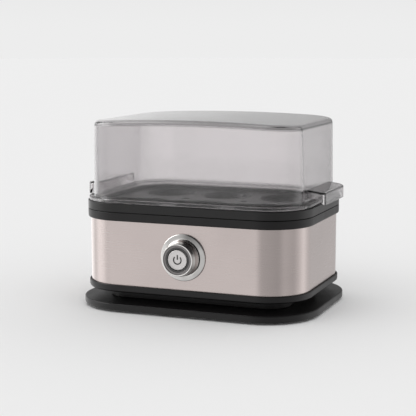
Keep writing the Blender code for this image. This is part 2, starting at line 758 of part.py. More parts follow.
# ---- switch --------------------------------------------------------------------------------
def switch():
    out = SWITCH_REACH
    bezel_low = GAP
    bezel = turned(
        "switch_bezel",
        [
            (BEZEL_R - 0.0022, BEZEL_H),
            (BEZEL_R - 0.0009, BEZEL_H - 0.0003),
            (BEZEL_R - 0.0005, 0.0009),
            (BEZEL_R, 0.0008),
            (BEZEL_R, bezel_low),
            (BARREL_R + GAP, bezel_low),
            (BARREL_R + GAP, BEZEL_H),
        ],
        36,
        "chrome",
        closed=True,
    )
    place_on_front(bezel)

    foot = BEZEL_H + GAP
    shelf = 0.0044
    floor_out = -0.0040
    floor_in = -0.0060
    tail = -0.0140
    collar = turned(
        "switch_collar",
        [
            (COLLAR_RIM_R - 0.0003, out),
            (COLLAR_RIM_R, out - 0.0003),
            (COLLAR_RIM_R + 0.0003, out - 0.0030),
            (COLLAR_FOOT_R - 0.0002, foot + 0.0020),
            (COLLAR_FOOT_R, foot + 0.0008),
            (COLLAR_FOOT_R, foot),
            (BARREL_R, foot),
            (BARREL_R, tail),
            (0.0096, tail),
            (0.0096, floor_in),
            (0.0033, floor_in),
            (0.0033, floor_out),
            (CAP_R + CAP_GAP + 0.0002, floor_out),
            (CAP_R + CAP_GAP + 0.0002, shelf),
            (COLLAR_BORE_R, shelf),
            (COLLAR_BORE_R, out),
        ],
        32,
        "chrome",
        closed=True,
    )
    place_on_front(collar)

    board_z = shelf + GAP
    board = turned(
        "lamp_board",
        disc_ring(COLLAR_BORE_R - GAP, CAP_R + CAP_GAP + 0.0006, board_z, board_z + 0.0010),
        32,
        "board",
        closed=True,
    )
    lamps = turned(
        "add_lamps",
        rod(0.0009, board_z + 0.0005, board_z + 0.0019),
        8,
        places=[(0.0095 * math.cos(a), 0.0095 * math.sin(a), 0) for a in (0.4, 1.97, 3.54, 5.11)],
    )
    place_on_front(lamps)
    boolean(board, lamps, "UNION")
    place_on_front(board)

    ring_low = board_z + 0.0022
    ring = turned(
        "light_ring",
        disc_ring(COLLAR_BORE_R - GAP, CAP_R + CAP_GAP, ring_low, out - 0.0006),
        40,
        "smoke",
        closed=True,
    )
    place_on_front(ring)

    cap_top = out - 0.0004
    cap_low = cap_top - 0.0052
    cap = turned(
        "button_cap",
        [(0, cap_top), (CAP_R - 0.0004, cap_top), (CAP_R, cap_top - 0.0004), (CAP_R, cap_low), (0, cap_low)],
        40,
        "silver",
    )
    place_on_front(cap)

    mark_z = cap_top + GAP + 0.00025
    arc = []
    for i in range(21):
        a = math.radians(90 + 38 + (360 - 76) * i / 20)
        arc.append((0.0030 * math.cos(a), 0.0030 * math.sin(a), mark_z))
    place_on_front(tube("power_symbol_arc", arc, 0.00025, "mark", sides=0))
    line = [(0, 0.0036, mark_z), (0, 0.0004, mark_z)]
    place_on_front(tube("power_symbol_bar", line, 0.00025, "mark", sides=0))

    stem_top = cap_low - GAP
    stem_low = floor_in - 0.0015
    stem = turned("button_stem", rod(STEM_R, stem_low, stem_top), 16, "inner_plastic")
    place_on_front(stem)

    turns = 4
    wire = 0.00035
    low = floor_out + GAP + wire
    high = cap_low - GAP - wire
    coil = []
    for i in range(turns * 10 + 1):
        a = 2 * math.pi * i / 10
        coil.append((0.0046 * math.cos(a), 0.0046 * math.sin(a), low + (high - low) * i / (turns * 10)))
    spring = tube("button_spring", coil, wire, "zinc", sides=0)
    place_on_front(spring)

    body = turned(
        "switch_body",
        [
            (0.0030 + GAP, floor_in - GAP),
            (0.0092, floor_in - GAP),
            (0.0092, tail - GAP),
            (0.0100, tail - GAP),
            (0.0100, -SWITCH_BACK),
            (0, -SWITCH_BACK),
            (0, stem_low - CAP_TRAVEL - 0.0010),
            (0.0030 + GAP, stem_low - CAP_TRAVEL - 0.0010),
        ],
        24,
        "inner_plastic",
        closed=True,
    )
    place_on_front(body)
    nut_top = -STEEL_T - GAP
    nut = turned("switch_nut", rod(0.0160, nut_top - 0.0030, nut_top), 6, "zinc")
    place_on_front(nut)
    bore = turned("cut_switch_nut", rod(BARREL_R + GAP, nut_top - 0.005, nut_top + 0.005), 24)
    place_on_front(bore)
    boolean(nut, bore)


# ---- egg tray ------------------------------------------------------------------------------
def egg_tray():
    skirt_out = STEEL_T + GROOVE + RING_WALL + 0.0008
    deck_low = TRAY_DECK_TOP - TRAY_DECK_T
    rim_low = RING_TOP + GAP
    tray = loft(
        "egg_tray",
        [
            around(skirt_out + 0.0018, deck_low),
            around(skirt_out + 0.0018, RING_TOP - 0.0035),
            around(skirt_out, RING_TOP - 0.0035),
            around(skirt_out, rim_low),
            around(-BAND_OUT + 0.0003, rim_low),
            around(-BAND_OUT, rim_low + 0.0003),
            around(-BAND_OUT, TRAY_RIM_TOP - 0.0005),
            around(-BAND_OUT + 0.0005, TRAY_RIM_TOP),
            around(TRAY_STEP_INSET, TRAY_RIM_TOP),
            around(TRAY_STEP_INSET + 0.0006, TRAY_DECK_TOP),
        ],
        "black_plastic",
    )
    seats = [(i * EGG_PITCH_X, s * EGG_ROW_Y, 0) for i in (-1, 0, 1) for s in (1, -1)]
    slope = (EGG_SEAT_R - EGG_HOLE_R) / (TRAY_DECK_TOP - CUP_BOTTOM)
    cups = turned(
        "add_cups",
        [
            (0, deck_low + 0.0008),
            (EGG_SEAT_R + CUP_WALL, deck_low + 0.0008),
            (EGG_HOLE_R + CUP_WALL, CUP_BOTTOM),
            (0, CUP_BOTTOM),
        ],
        24,
        places=seats,
    )
    boolean(tray, cups, "UNION")
    over = 0.0015
    holes = turned(
        "cut_egg_holes",
        [
            (0, TRAY_DECK_TOP + over),
            (EGG_SEAT_R + slope * over, TRAY_DECK_TOP + over),
            (EGG_HOLE_R - slope * over, CUP_BOTTOM - over),
            (0, CUP_BOTTOM - over),
        ],
        24,
        places=seats,
    )
    boolean(tray, holes)
    vents = turned(
        "cut_vents",
        rod(VENT_R, deck_low - 0.002, TRAY_DECK_TOP + 0.002),
        12,
        places=two(EGG_PITCH_X / 2),
    )
    boolean(tray, vents)


# ---- lid -----------------------------------------------------------------------------------
def lid():
    splits = 5

    def ring(in_x, in_y, r, z, crown=0.0):
        return oval(HALF_X - in_x, HALF_Y - in_y, r, z, crown, splits=splits)

    def panel(in_x, in_y, r, z, part):
        half_x, half_y = HALF_X - in_x, HALF_Y - in_y
        return oval(half_x * part, half_y * part, r * part, z, LID_CROWN, half_x, splits)

    top_x, top_y = LID_TOP_IN_X, LID_TOP_IN_Y
    sh = LID_SHOULDER_IN
    out_top = (top_x + sh, top_y + sh, LID_TOP_R - sh, LID_SHOULDER_TOP)
    in_sh = sh + 0.6 * LID_T
    in_top = (top_x + in_sh, top_y + in_sh, LID_TOP_R - in_sh, LID_SHOULDER_TOP - LID_T)
    skirt = TRAY_STEP_INSET + 0.0010
    parts = (0.35, 0.7)
    loops = [panel(*in_top, p) for p in parts]
    loops += [
        ring(*in_top, LID_CROWN),
        ring(top_x + LID_T, top_y + LID_T, LID_TOP_R - LID_T, LID_WALL_TOP - 0.0004, LID_CROWN),
        ring(LID_FOOT_IN_X + LID_T, LID_FOOT_IN_Y + LID_T, LID_FOOT_R - LID_T, FLANGE_Z1 + 0.0008),
        ring(skirt + 0.0016, skirt + 0.0016, CORNER_R - skirt - 0.0016, FLANGE_Z1 - 0.0010),
        ring(skirt + 0.0016, skirt + 0.0016, CORNER_R - skirt - 0.0016, TRAY_DECK_TOP + 0.0008),
        ring(skirt, skirt, CORNER_R - skirt, TRAY_DECK_TOP + 0.0008),
        ring(skirt, skirt, CORNER_R - skirt, LID_Z0),
        ring(-FLANGE_OUT_X + 0.0003, -FLANGE_OUT_Y + 0.0003, FLANGE_R - 0.0003, LID_Z0),
        ring(-FLANGE_OUT_X, -FLANGE_OUT_Y, FLANGE_R, LID_Z0 + 0.0003),
        ring(-FLANGE_OUT_X, -FLANGE_OUT_Y, FLANGE_R, FLANGE_Z1 - 0.0004),
        ring(-FLANGE_OUT_X + 0.0004, -FLANGE_OUT_Y + 0.0004, FLANGE_R - 0.0004, FLANGE_Z1),
        ring(LID_FOOT_IN_X - 0.0006, LID_FOOT_IN_Y - 0.0006, LID_FOOT_R + 0.0006, FLANGE_Z1),
        ring(LID_FOOT_IN_X, LID_FOOT_IN_Y, LID_FOOT_R, FLANGE_Z1 + 0.0006),
        ring(top_x, top_y, LID_TOP_R, LID_WALL_TOP, LID_CROWN),
        ring(top_x + 0.3 * sh, top_y + 0.3 * sh, LID_TOP_R - 0.3 * sh,
             LID_WALL_TOP + 0.62 * (LID_SHOULDER_TOP - LID_WALL_TOP), LID_CROWN),
        ring(*out_top, LID_CROWN),
    ]
    loops += [panel(*out_top, p) for p in parts[::-1]]
    tips = (LID_SHOULDER_TOP - LID_T + LID_CROWN, LID_SHOULDER_TOP + LID_CROWN)
    body = loft("lid", loops, "clear", poles=tips)

    wall_x = HALF_X - LID_FOOT_IN_X - 0.0010
    inner = GRIP_REACH - GRIP_T
    hook = [
        (wall_x, GRIP_TOP_IN),
        (GRIP_REACH - 0.0009, GRIP_TOP_OUT),
        (GRIP_REACH, GRIP_TOP_OUT - 0.0009),
        (GRIP_REACH, GRIP_LIP_BOTTOM),
        (inner, GRIP_LIP_BOTTOM),
        (inner, GRIP_TOP_OUT - GRIP_T),
        (wall_x, GRIP_TOP_IN - GRIP_T),
    ]
    web = [
        (wall_x, GRIP_TOP_IN - 0.5 * GRIP_T),
        (inner + 0.5 * GRIP_T, GRIP_TOP_OUT - 0.5 * GRIP_T),
        (inner + 0.5 * GRIP_T, GRIP_WEB_BOTTOM),
        (wall_x, GRIP_WEB_BOTTOM),
    ]
    for sx, side in ((1, "right"), (-1, "left")):
        grip = extruded("add_grip_" + side, [(sx * x, z) for x, z in hook], -GRIP_HALF_Y, GRIP_HALF_Y)
        boolean(body, grip, "UNION")
        for sy, end in ((1, "rear"), (-1, "front")):
            near = sorted((sy * (GRIP_HALF_Y - 0.0003), sy * (GRIP_HALF_Y - 0.0003 - GRIP_T)))
            brace = extruded("add_web_" + side + "_" + end, [(sx * x, z) for x, z in web], *near)
            boolean(body, brace, "UNION")


base()
lower_housing()
steel_shell()
upper_ring()
heating()
wires()
switch()
egg_tray()
lid()
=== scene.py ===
import math

import bmesh
import bpy
import numpy as np
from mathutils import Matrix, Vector


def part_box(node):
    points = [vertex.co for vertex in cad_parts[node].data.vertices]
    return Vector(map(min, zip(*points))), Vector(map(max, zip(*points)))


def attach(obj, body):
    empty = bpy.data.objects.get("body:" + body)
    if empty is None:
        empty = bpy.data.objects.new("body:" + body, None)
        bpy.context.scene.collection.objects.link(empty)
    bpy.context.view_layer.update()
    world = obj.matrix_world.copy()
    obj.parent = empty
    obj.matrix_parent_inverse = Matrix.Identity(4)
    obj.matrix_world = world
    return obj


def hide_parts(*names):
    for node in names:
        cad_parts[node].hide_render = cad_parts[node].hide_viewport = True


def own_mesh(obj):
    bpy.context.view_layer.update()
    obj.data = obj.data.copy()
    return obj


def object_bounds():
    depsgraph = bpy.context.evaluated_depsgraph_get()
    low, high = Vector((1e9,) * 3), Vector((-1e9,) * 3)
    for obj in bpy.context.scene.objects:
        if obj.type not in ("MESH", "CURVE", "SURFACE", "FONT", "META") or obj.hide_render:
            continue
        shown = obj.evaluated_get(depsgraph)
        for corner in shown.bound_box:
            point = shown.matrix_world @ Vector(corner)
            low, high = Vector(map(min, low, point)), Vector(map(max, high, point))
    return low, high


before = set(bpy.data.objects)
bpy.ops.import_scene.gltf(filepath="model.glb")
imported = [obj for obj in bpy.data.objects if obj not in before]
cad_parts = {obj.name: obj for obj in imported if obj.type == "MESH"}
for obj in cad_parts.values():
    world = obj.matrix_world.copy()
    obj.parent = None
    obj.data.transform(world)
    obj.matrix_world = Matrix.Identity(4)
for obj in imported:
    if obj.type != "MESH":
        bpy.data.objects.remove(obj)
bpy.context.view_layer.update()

# ---- Camera ----------------------------------------------------------------------------------
# Stands in front and a little to the right, slightly above the cooker's middle, with a long lens
# that keeps the uprights nearly parallel. No cord is seen, so there is none to lay out.
AIM = Vector((0.0, 0.0, 0.060))
VIEW_TURN, VIEW_RISE = math.radians(21.28), math.radians(8.91)
STAND_OFF = 0.91529
LENS_MM, SENSOR_MM = 103.45, 36.0
SHIFT = (-0.01688, 0.02993)
back = Vector((
    math.sin(VIEW_TURN) * math.cos(VIEW_RISE),
    -math.cos(VIEW_TURN) * math.cos(VIEW_RISE),
    math.sin(VIEW_RISE),
))
camera = bpy.data.objects.new("camera", bpy.data.cameras.new("camera"))
camera.location = AIM + back * STAND_OFF
camera.rotation_euler = back.to_track_quat("Z", "Y").to_euler()
camera.data.lens, camera.data.sensor_width = LENS_MM, SENSOR_MM
camera.data.shift_x, camera.data.shift_y = SHIFT
bpy.context.scene.collection.objects.link(camera)
bpy.context.scene.camera = camera


# ---- Base plate ------------------------------------------------------------------------------
# Injection-moulded ABS with a fine spark-eroded grain. It stands on four rubber feet and carries
# the housing on a drum that the cord winds round; four screws hold it from below.
STEEL_X, STEEL_Y, STEEL_R = 0.0860, 0.0630, 0.0317
PLATE_X, PLATE_Y, PLATE_R = STEEL_X + 0.0061, STEEL_Y + 0.0067, 0.0408
PLATE_T = 0.0053
PLATE_ROUND = 0.0011
PLATE_DISH = 0.0150
FOOT_AT, SEAT_WIDE, SEAT_DEEP = (0.0660, 0.0420), 0.0086, 0.0013
BASE_SCREW_AT = (0.0460, 0.0300)
HEAD_WAY, HEAD_DEEP, SHANK_WAY = 0.0045, 0.0026, 0.0022
PAST = 0.001              # how far a cutter runs out past the surface that it opens
FINE_GAP = 0.0003
ABS_BLACK = "0E0C0D"


def outline(half_x, half_y, r, corner=20, side=6):
    """Rounded rectangles, one row of points for each size given. A corner is a quarter circle of
    radius r about (half - r), and the sides are straight runs between the corners."""
    half_x, half_y, r = (np.asarray(v, float).reshape(-1, 1, 1) for v in (half_x, half_y, r))
    sx = np.array([1, -1, -1, 1]).reshape(1, 4, 1)
    sy = np.array([1, 1, -1, -1]).reshape(1, 4, 1)
    turn = np.radians([0, 90, 180, 270]).reshape(1, 4, 1) + np.linspace(0, np.pi / 2, corner + 1)
    arc = np.stack([sx * (half_x - r) + r * np.cos(turn), sy * (half_y - r) + r * np.sin(turn)], -1)
    t = np.linspace(0, 1, side + 1)[1:-1].reshape(1, 1, -1, 1)
    run = arc[:, :, -1:] * (1 - t) + np.roll(arc[:, :, :1], -1, axis=1) * t
    return np.concatenate([arc, run], 2).reshape(arc.shape[0], -1, 2)


def rows_at(flat, z):
    """Gives each row of flat (x, y) points its height, one number or one per point."""
    z = np.asarray(z, float)
    z = z.reshape(len(flat), -1) if z.ndim else z
    height = np.broadcast_to(z, flat.shape[:2])
    return np.concatenate([flat, height[..., None]], -1)


def around(steps):
    """Rows that follow the steel band's outline, from (inset, height) pairs."""
    inset, z = np.array(steps, float).T
    return rows_at(outline(STEEL_X - inset, STEEL_Y - inset, np.maximum(STEEL_R - inset, 0.002)), z)


def eased(rows, ease, steps=4, ring=False):
    """Rounds the edges between rows. Each row becomes steps + 1 rows on a parabola that starts
    ease before it and ends ease after it. A row whose ease is 0 stays as it is."""
    rows = np.asarray(rows, float)
    ease = np.broadcast_to(np.asarray(ease, float), (len(rows),)).copy()
    if not ring:
        ease[[0, -1]] = 0
    reach = ease.reshape(-1, 1, 1)

    def part_way(step):
        size = np.linalg.norm(step, axis=-1, keepdims=True)
        return step / np.maximum(size, 1e-9) * np.minimum(reach, 0.48 * size)

    a = (rows + part_way(np.roll(rows, 1, 0) - rows))[:, None]
    b = (rows + part_way(np.roll(rows, -1, 0) - rows))[:, None]
    t = np.linspace(0, 1, steps + 1).reshape(1, -1, 1, 1)
    out = (1 - t) ** 2 * a + 2 * t * (1 - t) * rows[:, None] + t ** 2 * b
    keep = np.ones(out.shape[:2], bool)
    keep[ease == 0, 1:] = False
    return out[keep]


def skin(name, rows, ring=False, tips=None):
    """Closed surface over a grid of points, whose rows are closed loops. It is a ring, or its two
    ends are closed onto middle points. The faces are turned so that the volume is positive."""
    m, n = rows.shape[:2]
    at = np.arange(m * n).reshape(m, n)
    low, high = (at, np.roll(at, -1, 0)) if ring else (at[:-1], at[1:])
    quads = np.stack([low, np.roll(low, -1, 1), np.roll(high, -1, 1), high], -1).reshape(-1, 4)
    points = rows.reshape(-1, 3)
    thirds = np.empty((0, 3), int)
    if not ring:
        ends = rows[[0, -1]].mean(1) if tips is None else np.asarray(tips, float)
        points = np.vstack([points, ends])
        first, last = at[0], at[-1]
        thirds = np.vstack([
            np.stack([np.roll(first, -1), first, np.full(n, m * n)], -1),
            np.stack([last, np.roll(last, -1), np.full(n, m * n + 1)], -1),
        ])
    every = np.vstack([quads[:, [0, 1, 2]], quads[:, [0, 2, 3]], thirds])
    a, b, c = points[every[:, 0]], points[every[:, 1]], points[every[:, 2]]
    if np.einsum("ij,ij->i", a, np.cross(b, c)).sum() < 0:
        quads, thirds = quads[:, ::-1], thirds[:, ::-1]
    mesh = bpy.data.meshes.new(name)
    mesh.from_pydata(points.tolist(), [], quads.tolist() + thirds.tolist())
    mesh.update()
    piece = bpy.data.objects.new(name, mesh)
    bpy.context.scene.collection.objects.link(piece)
    return piece


def circles(profile, middle=(0.0, 0.0), steps=64):
    """Rows of a turned shape: each (radius, height) pair of the profile is a circle."""
    radius, z = np.array(profile, float).T
    turn = np.linspace(0, 2 * np.pi, steps, endpoint=False)
    x = middle[0] + radius[:, None] * np.cos(turn)
    y = middle[1] + radius[:, None] * np.sin(turn)
    return np.stack([x, y, np.broadcast_to(z[:, None], x.shape)], -1)


def welded(piece):
    """Merges points that fall on each other and turns the faces outwards again."""
    work = bmesh.new()
    work.from_mesh(piece.data)
    bmesh.ops.remove_doubles(work, verts=work.verts, dist=2e-6)
    bmesh.ops.recalc_face_normals(work, faces=work.faces)
    work.to_mesh(piece.data)
    work.free()
    return piece


def combine(piece, others, operation):
    """Joins the other bodies to the piece, or cuts them out of it, for good."""
    for other in [piece, *others]:
        welded(other)
    for other in others:
        change = piece.modifiers.new("combine", "BOOLEAN")
        change.operation, change.solver, change.object = operation, "MANIFOLD", other
    bpy.context.view_layer.update()
    done = bpy.data.meshes.new_from_object(piece.evaluated_get(bpy.context.evaluated_depsgraph_get()))
    piece.modifiers.clear()
    piece.data = done
    for other in others:
        bpy.data.objects.remove(other)
    return piece


def dressed(piece, mat, body, slot, *nodes):
    """Smooth shading with crisp edges, the material, and what the piece rides on and stands for."""
    piece.data.materials.clear()
    piece.data.materials.append(mat)
    piece.data.shade_smooth()
    piece.data.set_sharp_from_angle(angle=math.radians(38))
    even = piece.modifiers.new("even normals", "WEIGHTED_NORMAL")
    even.keep_sharp = True
    even.weight = 80
    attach(piece, body)
    if nodes:
        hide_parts(*nodes)
    return piece


def srgb(code):
    """An sRGB hex value as linear red, green, blue and alpha."""
    c = np.array([int(code[i:i + 2], 16) for i in (0, 2, 4)]) / 255
    c = np.where(c <= 0.04045, c / 12.92, ((c + 0.055) / 1.055) ** 2.4)
    return (*c.tolist(), 1.0)


def node(tree, kind, sockets=None, **settings):
    """Adds a node. A socket is given a value, or another node's output to link."""
    made = tree.nodes.new("ShaderNode" + kind)
    for key, value in settings.items():
        setattr(made, key, value)
    for key, value in (sockets or {}).items():
        if isinstance(value, bpy.types.NodeSocket):
            tree.links.new(value, made.inputs[key])
        else:
            made.inputs[key].default_value = value
    return made


def moulded(name, code, rough, grain_mm, depth_mm, streak=0.012):
    """Injection-moulded plastic. The die's grain gives a fine bump, flow and handling leave soft
    patches that are a little glossier or duller, and a trace of lint lightens the colour."""
    mat = bpy.data.materials.new(name)
    mat.use_nodes = True
    tree = mat.node_tree
    tree.nodes.clear()
    where = node(tree, "TexCoord").outputs["Object"]
    grain = node(tree, "TexNoise", {"Vector": where, "Scale": 1000 / grain_mm, "Detail": 3.0,
                                    "Roughness": 0.6})
    patch = node(tree, "TexNoise", {"Vector": where, "Scale": 1 / streak, "Detail": 2.0})
    lint = node(tree, "TexNoise", {"Vector": where, "Scale": 420.0, "Detail": 6.0, "Roughness": 0.7})
    mixed = node(tree, "Math", {0: grain.outputs["Fac"], 1: patch.outputs["Fac"]}, operation="ADD")
    gloss = node(tree, "MapRange", {"Value": mixed.outputs[0], "From Min": 0.6, "From Max": 1.4,
                                    "To Min": rough - 0.06, "To Max": rough + 0.06})
    fleck = node(tree, "MapRange", {"Value": lint.outputs["Fac"], "From Min": 0.62, "From Max": 0.80,
                                    "To Min": 0.0, "To Max": 0.25})
    shade = node(tree, "MapRange", {"Value": patch.outputs["Fac"], "From Min": 0.3, "From Max": 0.7,
                                    "To Min": 0.88, "To Max": 1.12})
    dusty = tuple(min(1.0, v * 1.6 + 0.004) for v in srgb(code)[:3]) + (1.0,)
    # The two colour sockets of a Mix node are numbers 6 and 7.
    base = node(tree, "Mix", {"Factor": fleck.outputs[0], 6: srgb(code), 7: dusty}, data_type="RGBA")
    toned = node(tree, "HueSaturation", {"Value": shade.outputs[0], "Color": base.outputs[2]})
    bump = node(tree, "Bump", {"Height": grain.outputs["Fac"], "Distance": depth_mm / 1000,
                               "Strength": 0.6})
    shader = node(tree, "BsdfPrincipled", {
        "Base Color": toned.outputs[0], "Roughness": gloss.outputs[0], "IOR": 1.54,
        "Specular IOR Level": 0.34, "Normal": bump.outputs[0],
    })
    node(tree, "OutputMaterial", {"Surface": shader.outputs[0]})
    return mat


def spots(x, y):
    """The four places at plus and minus x and y."""
    return [(sx * x, sy * y) for sx in (1, -1) for sy in (1, -1)]


# Real grain is about 0.15 mm; it is drawn at 0.5 mm, the finest that still shows.
black_abs = moulded("moulded black ABS", ABS_BLACK, 0.42, 0.5, 0.03)
inset = np.array([PLATE_DISH, 0.006, 0.0, 0.0, 0.006, PLATE_DISH])
plate_rows = rows_at(
    outline(PLATE_X - inset, PLATE_Y - inset, PLATE_R - inset, corner=28),
    [0.0, 0.0, 0.0, PLATE_T, PLATE_T, PLATE_T],
)
plate = skin("base_plate_moulding", eased(plate_rows, [0, 0, PLATE_ROUND, PLATE_ROUND, 0, 0], steps=6))
foot_seats = [
    skin(f"seat_{i}", circles([(SEAT_WIDE, -PAST), (SEAT_WIDE, SEAT_DEEP)], at, 40))
    for i, at in enumerate(spots(*FOOT_AT))
]
screw_ways = [
    skin(f"way_{i}", circles([
        (HEAD_WAY, -PAST), (HEAD_WAY, HEAD_DEEP), (SHANK_WAY, HEAD_DEEP), (SHANK_WAY, 0.008),
    ], at, 32))
    for i, at in enumerate(spots(*BASE_SCREW_AT))
]
combine(plate, foot_seats + screw_ways, "DIFFERENCE")
dressed(plate, black_abs, "housing", "black_plastic", "base_plate")


# ---- Feet and base screws --------------------------------------------------------------------
# Four round nitrile rubber feet are pressed into shallow seats; they look matt and slightly dusty.
# Zinc-plated pan-head screws with a cross recess hold the plate to the housing.
FOOT_R, FOOT_STAND, FOOT_SET = 0.0080, 0.0015, 0.0010
HEAD_T, THREAD_PITCH, RECESS_DEEP = 0.0017, 0.0006, 0.0011
BASE_HEAD_R, BASE_SHANK_R, BASE_HEAD_SEAT = 0.0036, 0.0016, 0.0023
rubber = moulded("nitrile rubber", "191919", 0.72, 0.8, 0.04)


def plated(name, code, rough, spangle_mm):
    """Plated steel. The plating's crystals vary the gloss, and rolling leaves faint scratches."""
    mat = bpy.data.materials.new(name)
    mat.use_nodes = True
    tree = mat.node_tree
    tree.nodes.clear()
    where = node(tree, "TexCoord").outputs["Object"]
    spangle = node(tree, "TexVoronoi", {"Vector": where, "Scale": 1000 / spangle_mm})
    cloud = node(tree, "TexNoise", {"Vector": where, "Scale": 260.0, "Detail": 4.0})
    gloss = node(tree, "MapRange", {"Value": cloud.outputs["Fac"], "From Min": 0.3, "From Max": 0.7,
                                    "To Min": rough - 0.08, "To Max": rough + 0.08})
    tint = node(tree, "MapRange", {"Value": spangle.outputs["Distance"], "From Min": 0.0, "From Max": 0.8,
                                   "To Min": 0.93, "To Max": 1.05})
    tone = node(tree, "HueSaturation", {"Value": tint.outputs[0], "Color": srgb(code)})
    bump = node(tree, "Bump", {"Height": cloud.outputs["Fac"], "Distance": 0.00002, "Strength": 0.4})
    shader = node(tree, "BsdfPrincipled", {"Base Color": tone.outputs[0], "Metallic": 1.0,
                                           "Roughness": gloss.outputs[0], "Normal": bump.outputs[0]})
    node(tree, "OutputMaterial", {"Surface": shader.outputs[0]})
    return mat


zinc = plated("zinc-plated steel", "A9ABAD", 0.38, 1.2)
names = ("rear_right", "front_right", "rear_left", "front_left")
for side, at in zip(names, spots(*FOOT_AT)):
    foot_rows = circles(
        [(FOOT_R * 0.6, FOOT_SET), (FOOT_R, FOOT_SET), (FOOT_R, -FOOT_STAND), (FOOT_R * 0.7, -FOOT_STAND),
         (FOOT_R * 0.6, -FOOT_STAND + 0.0004)],
        at, 48,
    )
    foot = skin("rubber_foot_" + side, eased(foot_rows, [0, 0.0002, 0.0007, 0.0002, 0]))
    dressed(foot, rubber, "housing", "rubber", "foot_" + side)


def cross_cut(name, at, z_open, size):
    """Two crossed bars that cut a screw's recess, from z_open into the head."""
    x, y = at
    low, high = z_open - 0.0005, z_open + RECESS_DEEP
    bars = []
    for k, (hx, hy) in enumerate(((size, size * 0.22), (size * 0.22, size))):
        corners = np.array([[x - hx, y - hy], [x + hx, y - hy], [x + hx, y + hy], [x - hx, y + hy]])
        bars.append(skin(f"{name}_{k}", rows_at(np.stack([corners, corners]), [low, high])))
    return bars


def screw(name, at, head, shank, seat, tip, node_name):
    """Pan-head screw driven from below: domed head under the seat, threaded shank above it. The
    thread is a row of rings, its radius rising and falling once for each turn."""
    rings = int((tip - seat) / THREAD_PITCH)
    z = np.linspace(seat + FINE_GAP, tip, 2 * rings + 1)
    r = np.where(np.arange(len(z)) % 2 == 0, shank, shank * 0.82)
    r[-1] = shank * 0.3
    profile = [
        (head * 0.5, seat - HEAD_T), (head * 0.86, seat - 0.0013), (head, seat - 0.0006), (head, seat),
        (shank, seat), *zip(r.tolist(), z.tolist()),
    ]
    body = skin(name, circles(profile, at, 28))
    combine(body, cross_cut(name + "_recess", at, seat - HEAD_T, head * 0.52), "DIFFERENCE")
    return dressed(body, zinc, "housing", "zinc", node_name)


for i in range(1, 5):
    lo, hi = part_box(f"base_screw_{i}")
    at = ((lo[0] + hi[0]) / 2, (lo[1] + hi[1]) / 2)
    screw(f"plate_screw_{i}", at, BASE_HEAD_R, BASE_SHANK_R, BASE_HEAD_SEAT, hi[2], f"base_screw_{i}")


# ---- Cord drum and gland ---------------------------------------------------------------------
# A low moulded wall, well inside the outline, leaves the groove that the cord winds into. At the
# rear it holds a soft PVC gland with a flat slot for the two-core cord.
DRUM_IN, DRUM_WALL = 0.0150, 0.0024
GLAND_WAY, CORD_WAY = (0.0050, 0.0023), (0.0030, 0.0013)
lo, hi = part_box("cord_drum")
drum_low, drum_high = lo[2], hi[2]
drum = skin("cord_drum_wall", eased(around([
    (DRUM_IN, drum_low), (DRUM_IN, drum_high),
    (DRUM_IN + DRUM_WALL, drum_high), (DRUM_IN + DRUM_WALL, drum_low),
]), 0.0003, ring=True), ring=True)
lo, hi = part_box("cord_gland")
middle_y, middle_z = STEEL_Y - DRUM_IN, (lo[2] + hi[2]) / 2


def level_bar(half_w, half_h, y0, y1, edge):
    """Rounded bar along Y about the gland's middle."""
    flat = outline(half_w, half_h, min(edge, half_h * 0.98), corner=8, side=2)[0]
    ends = np.array([y0, y1])
    return np.stack([np.broadcast_to(flat[:, 0], (2, len(flat))),
                     np.broadcast_to(ends[:, None], (2, len(flat))),
                     np.broadcast_to(middle_z + flat[:, 1], (2, len(flat)))], -1)


gland_way = skin("cut_gland", level_bar(*GLAND_WAY, middle_y - 0.006, middle_y + 0.006, 0.0006))
combine(drum, [gland_way], "DIFFERENCE")
dressed(drum, black_abs, "housing", "black_plastic", "cord_drum")
gland_rows = level_bar((hi[0] - lo[0]) / 2, (hi[2] - lo[2]) / 2, lo[1], hi[1], 0.0009)
gland = skin("cord_gland_sleeve", gland_rows)
cord_way = skin("cut_way", level_bar(*CORD_WAY, lo[1] - 0.002, hi[1] + 0.002, 0.0012))
combine(gland, [cord_way], "DIFFERENCE")
dressed(gland, rubber, "housing", "rubber", "cord_gland")


# ---- Lower housing ---------------------------------------------------------------------------
# One ABS tub: a curved underside, a lip with a groove that the steel band stands in, and a low
# inner wall. Posts of the upper ring are screwed to it from below.
LIP_OUT = 0.0015
GROOVE = 0.0004
STEEL_T = 0.0008
TUB_WALL = 0.0018
BOSS_R, POST_HEAD_WAY, POST_SHANK_WAY, POST_SEAT = 0.0050, 0.0036, 0.0019, 0.0170
FLOOR_LOW, FLOOR_HIGH = 0.0116, 0.0140
LIP_TOP = 0.0181
TUB_WALL_TOP = 0.0240
STEEL_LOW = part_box("steel_shell")[0][2]
groove_in = STEEL_T + GROOVE
tub = skin("lower_tub", eased(around([
    (0.0100, FLOOR_LOW), (0.0030, FLOOR_LOW + 0.0004), (-LIP_OUT + 0.0004, FLOOR_LOW + 0.0016),
    (-LIP_OUT, FLOOR_LOW + 0.0028), (-LIP_OUT, LIP_TOP), (-GROOVE, LIP_TOP),
    (-GROOVE, STEEL_LOW - FINE_GAP), (groove_in, STEEL_LOW - FINE_GAP),
    (groove_in, TUB_WALL_TOP), (groove_in + TUB_WALL, TUB_WALL_TOP), (groove_in + TUB_WALL, FLOOR_HIGH),
    (groove_in + 0.0100, FLOOR_HIGH),
]), [0, 0.0030, 0.0011, 0.0009, 0.0006, 0.0001, 0, 0, 0.0003, 0.0003, 0.0006, 0]))
POST_AT = (0.0711, 0.0481)
bosses = [skin(f"boss_{i}", circles([(BOSS_R, FLOOR_HIGH - PAST), (BOSS_R, FLOOR_HIGH + 0.006)], at, 32))
          for i, at in enumerate(spots(*POST_AT))]
combine(tub, bosses, "UNION")
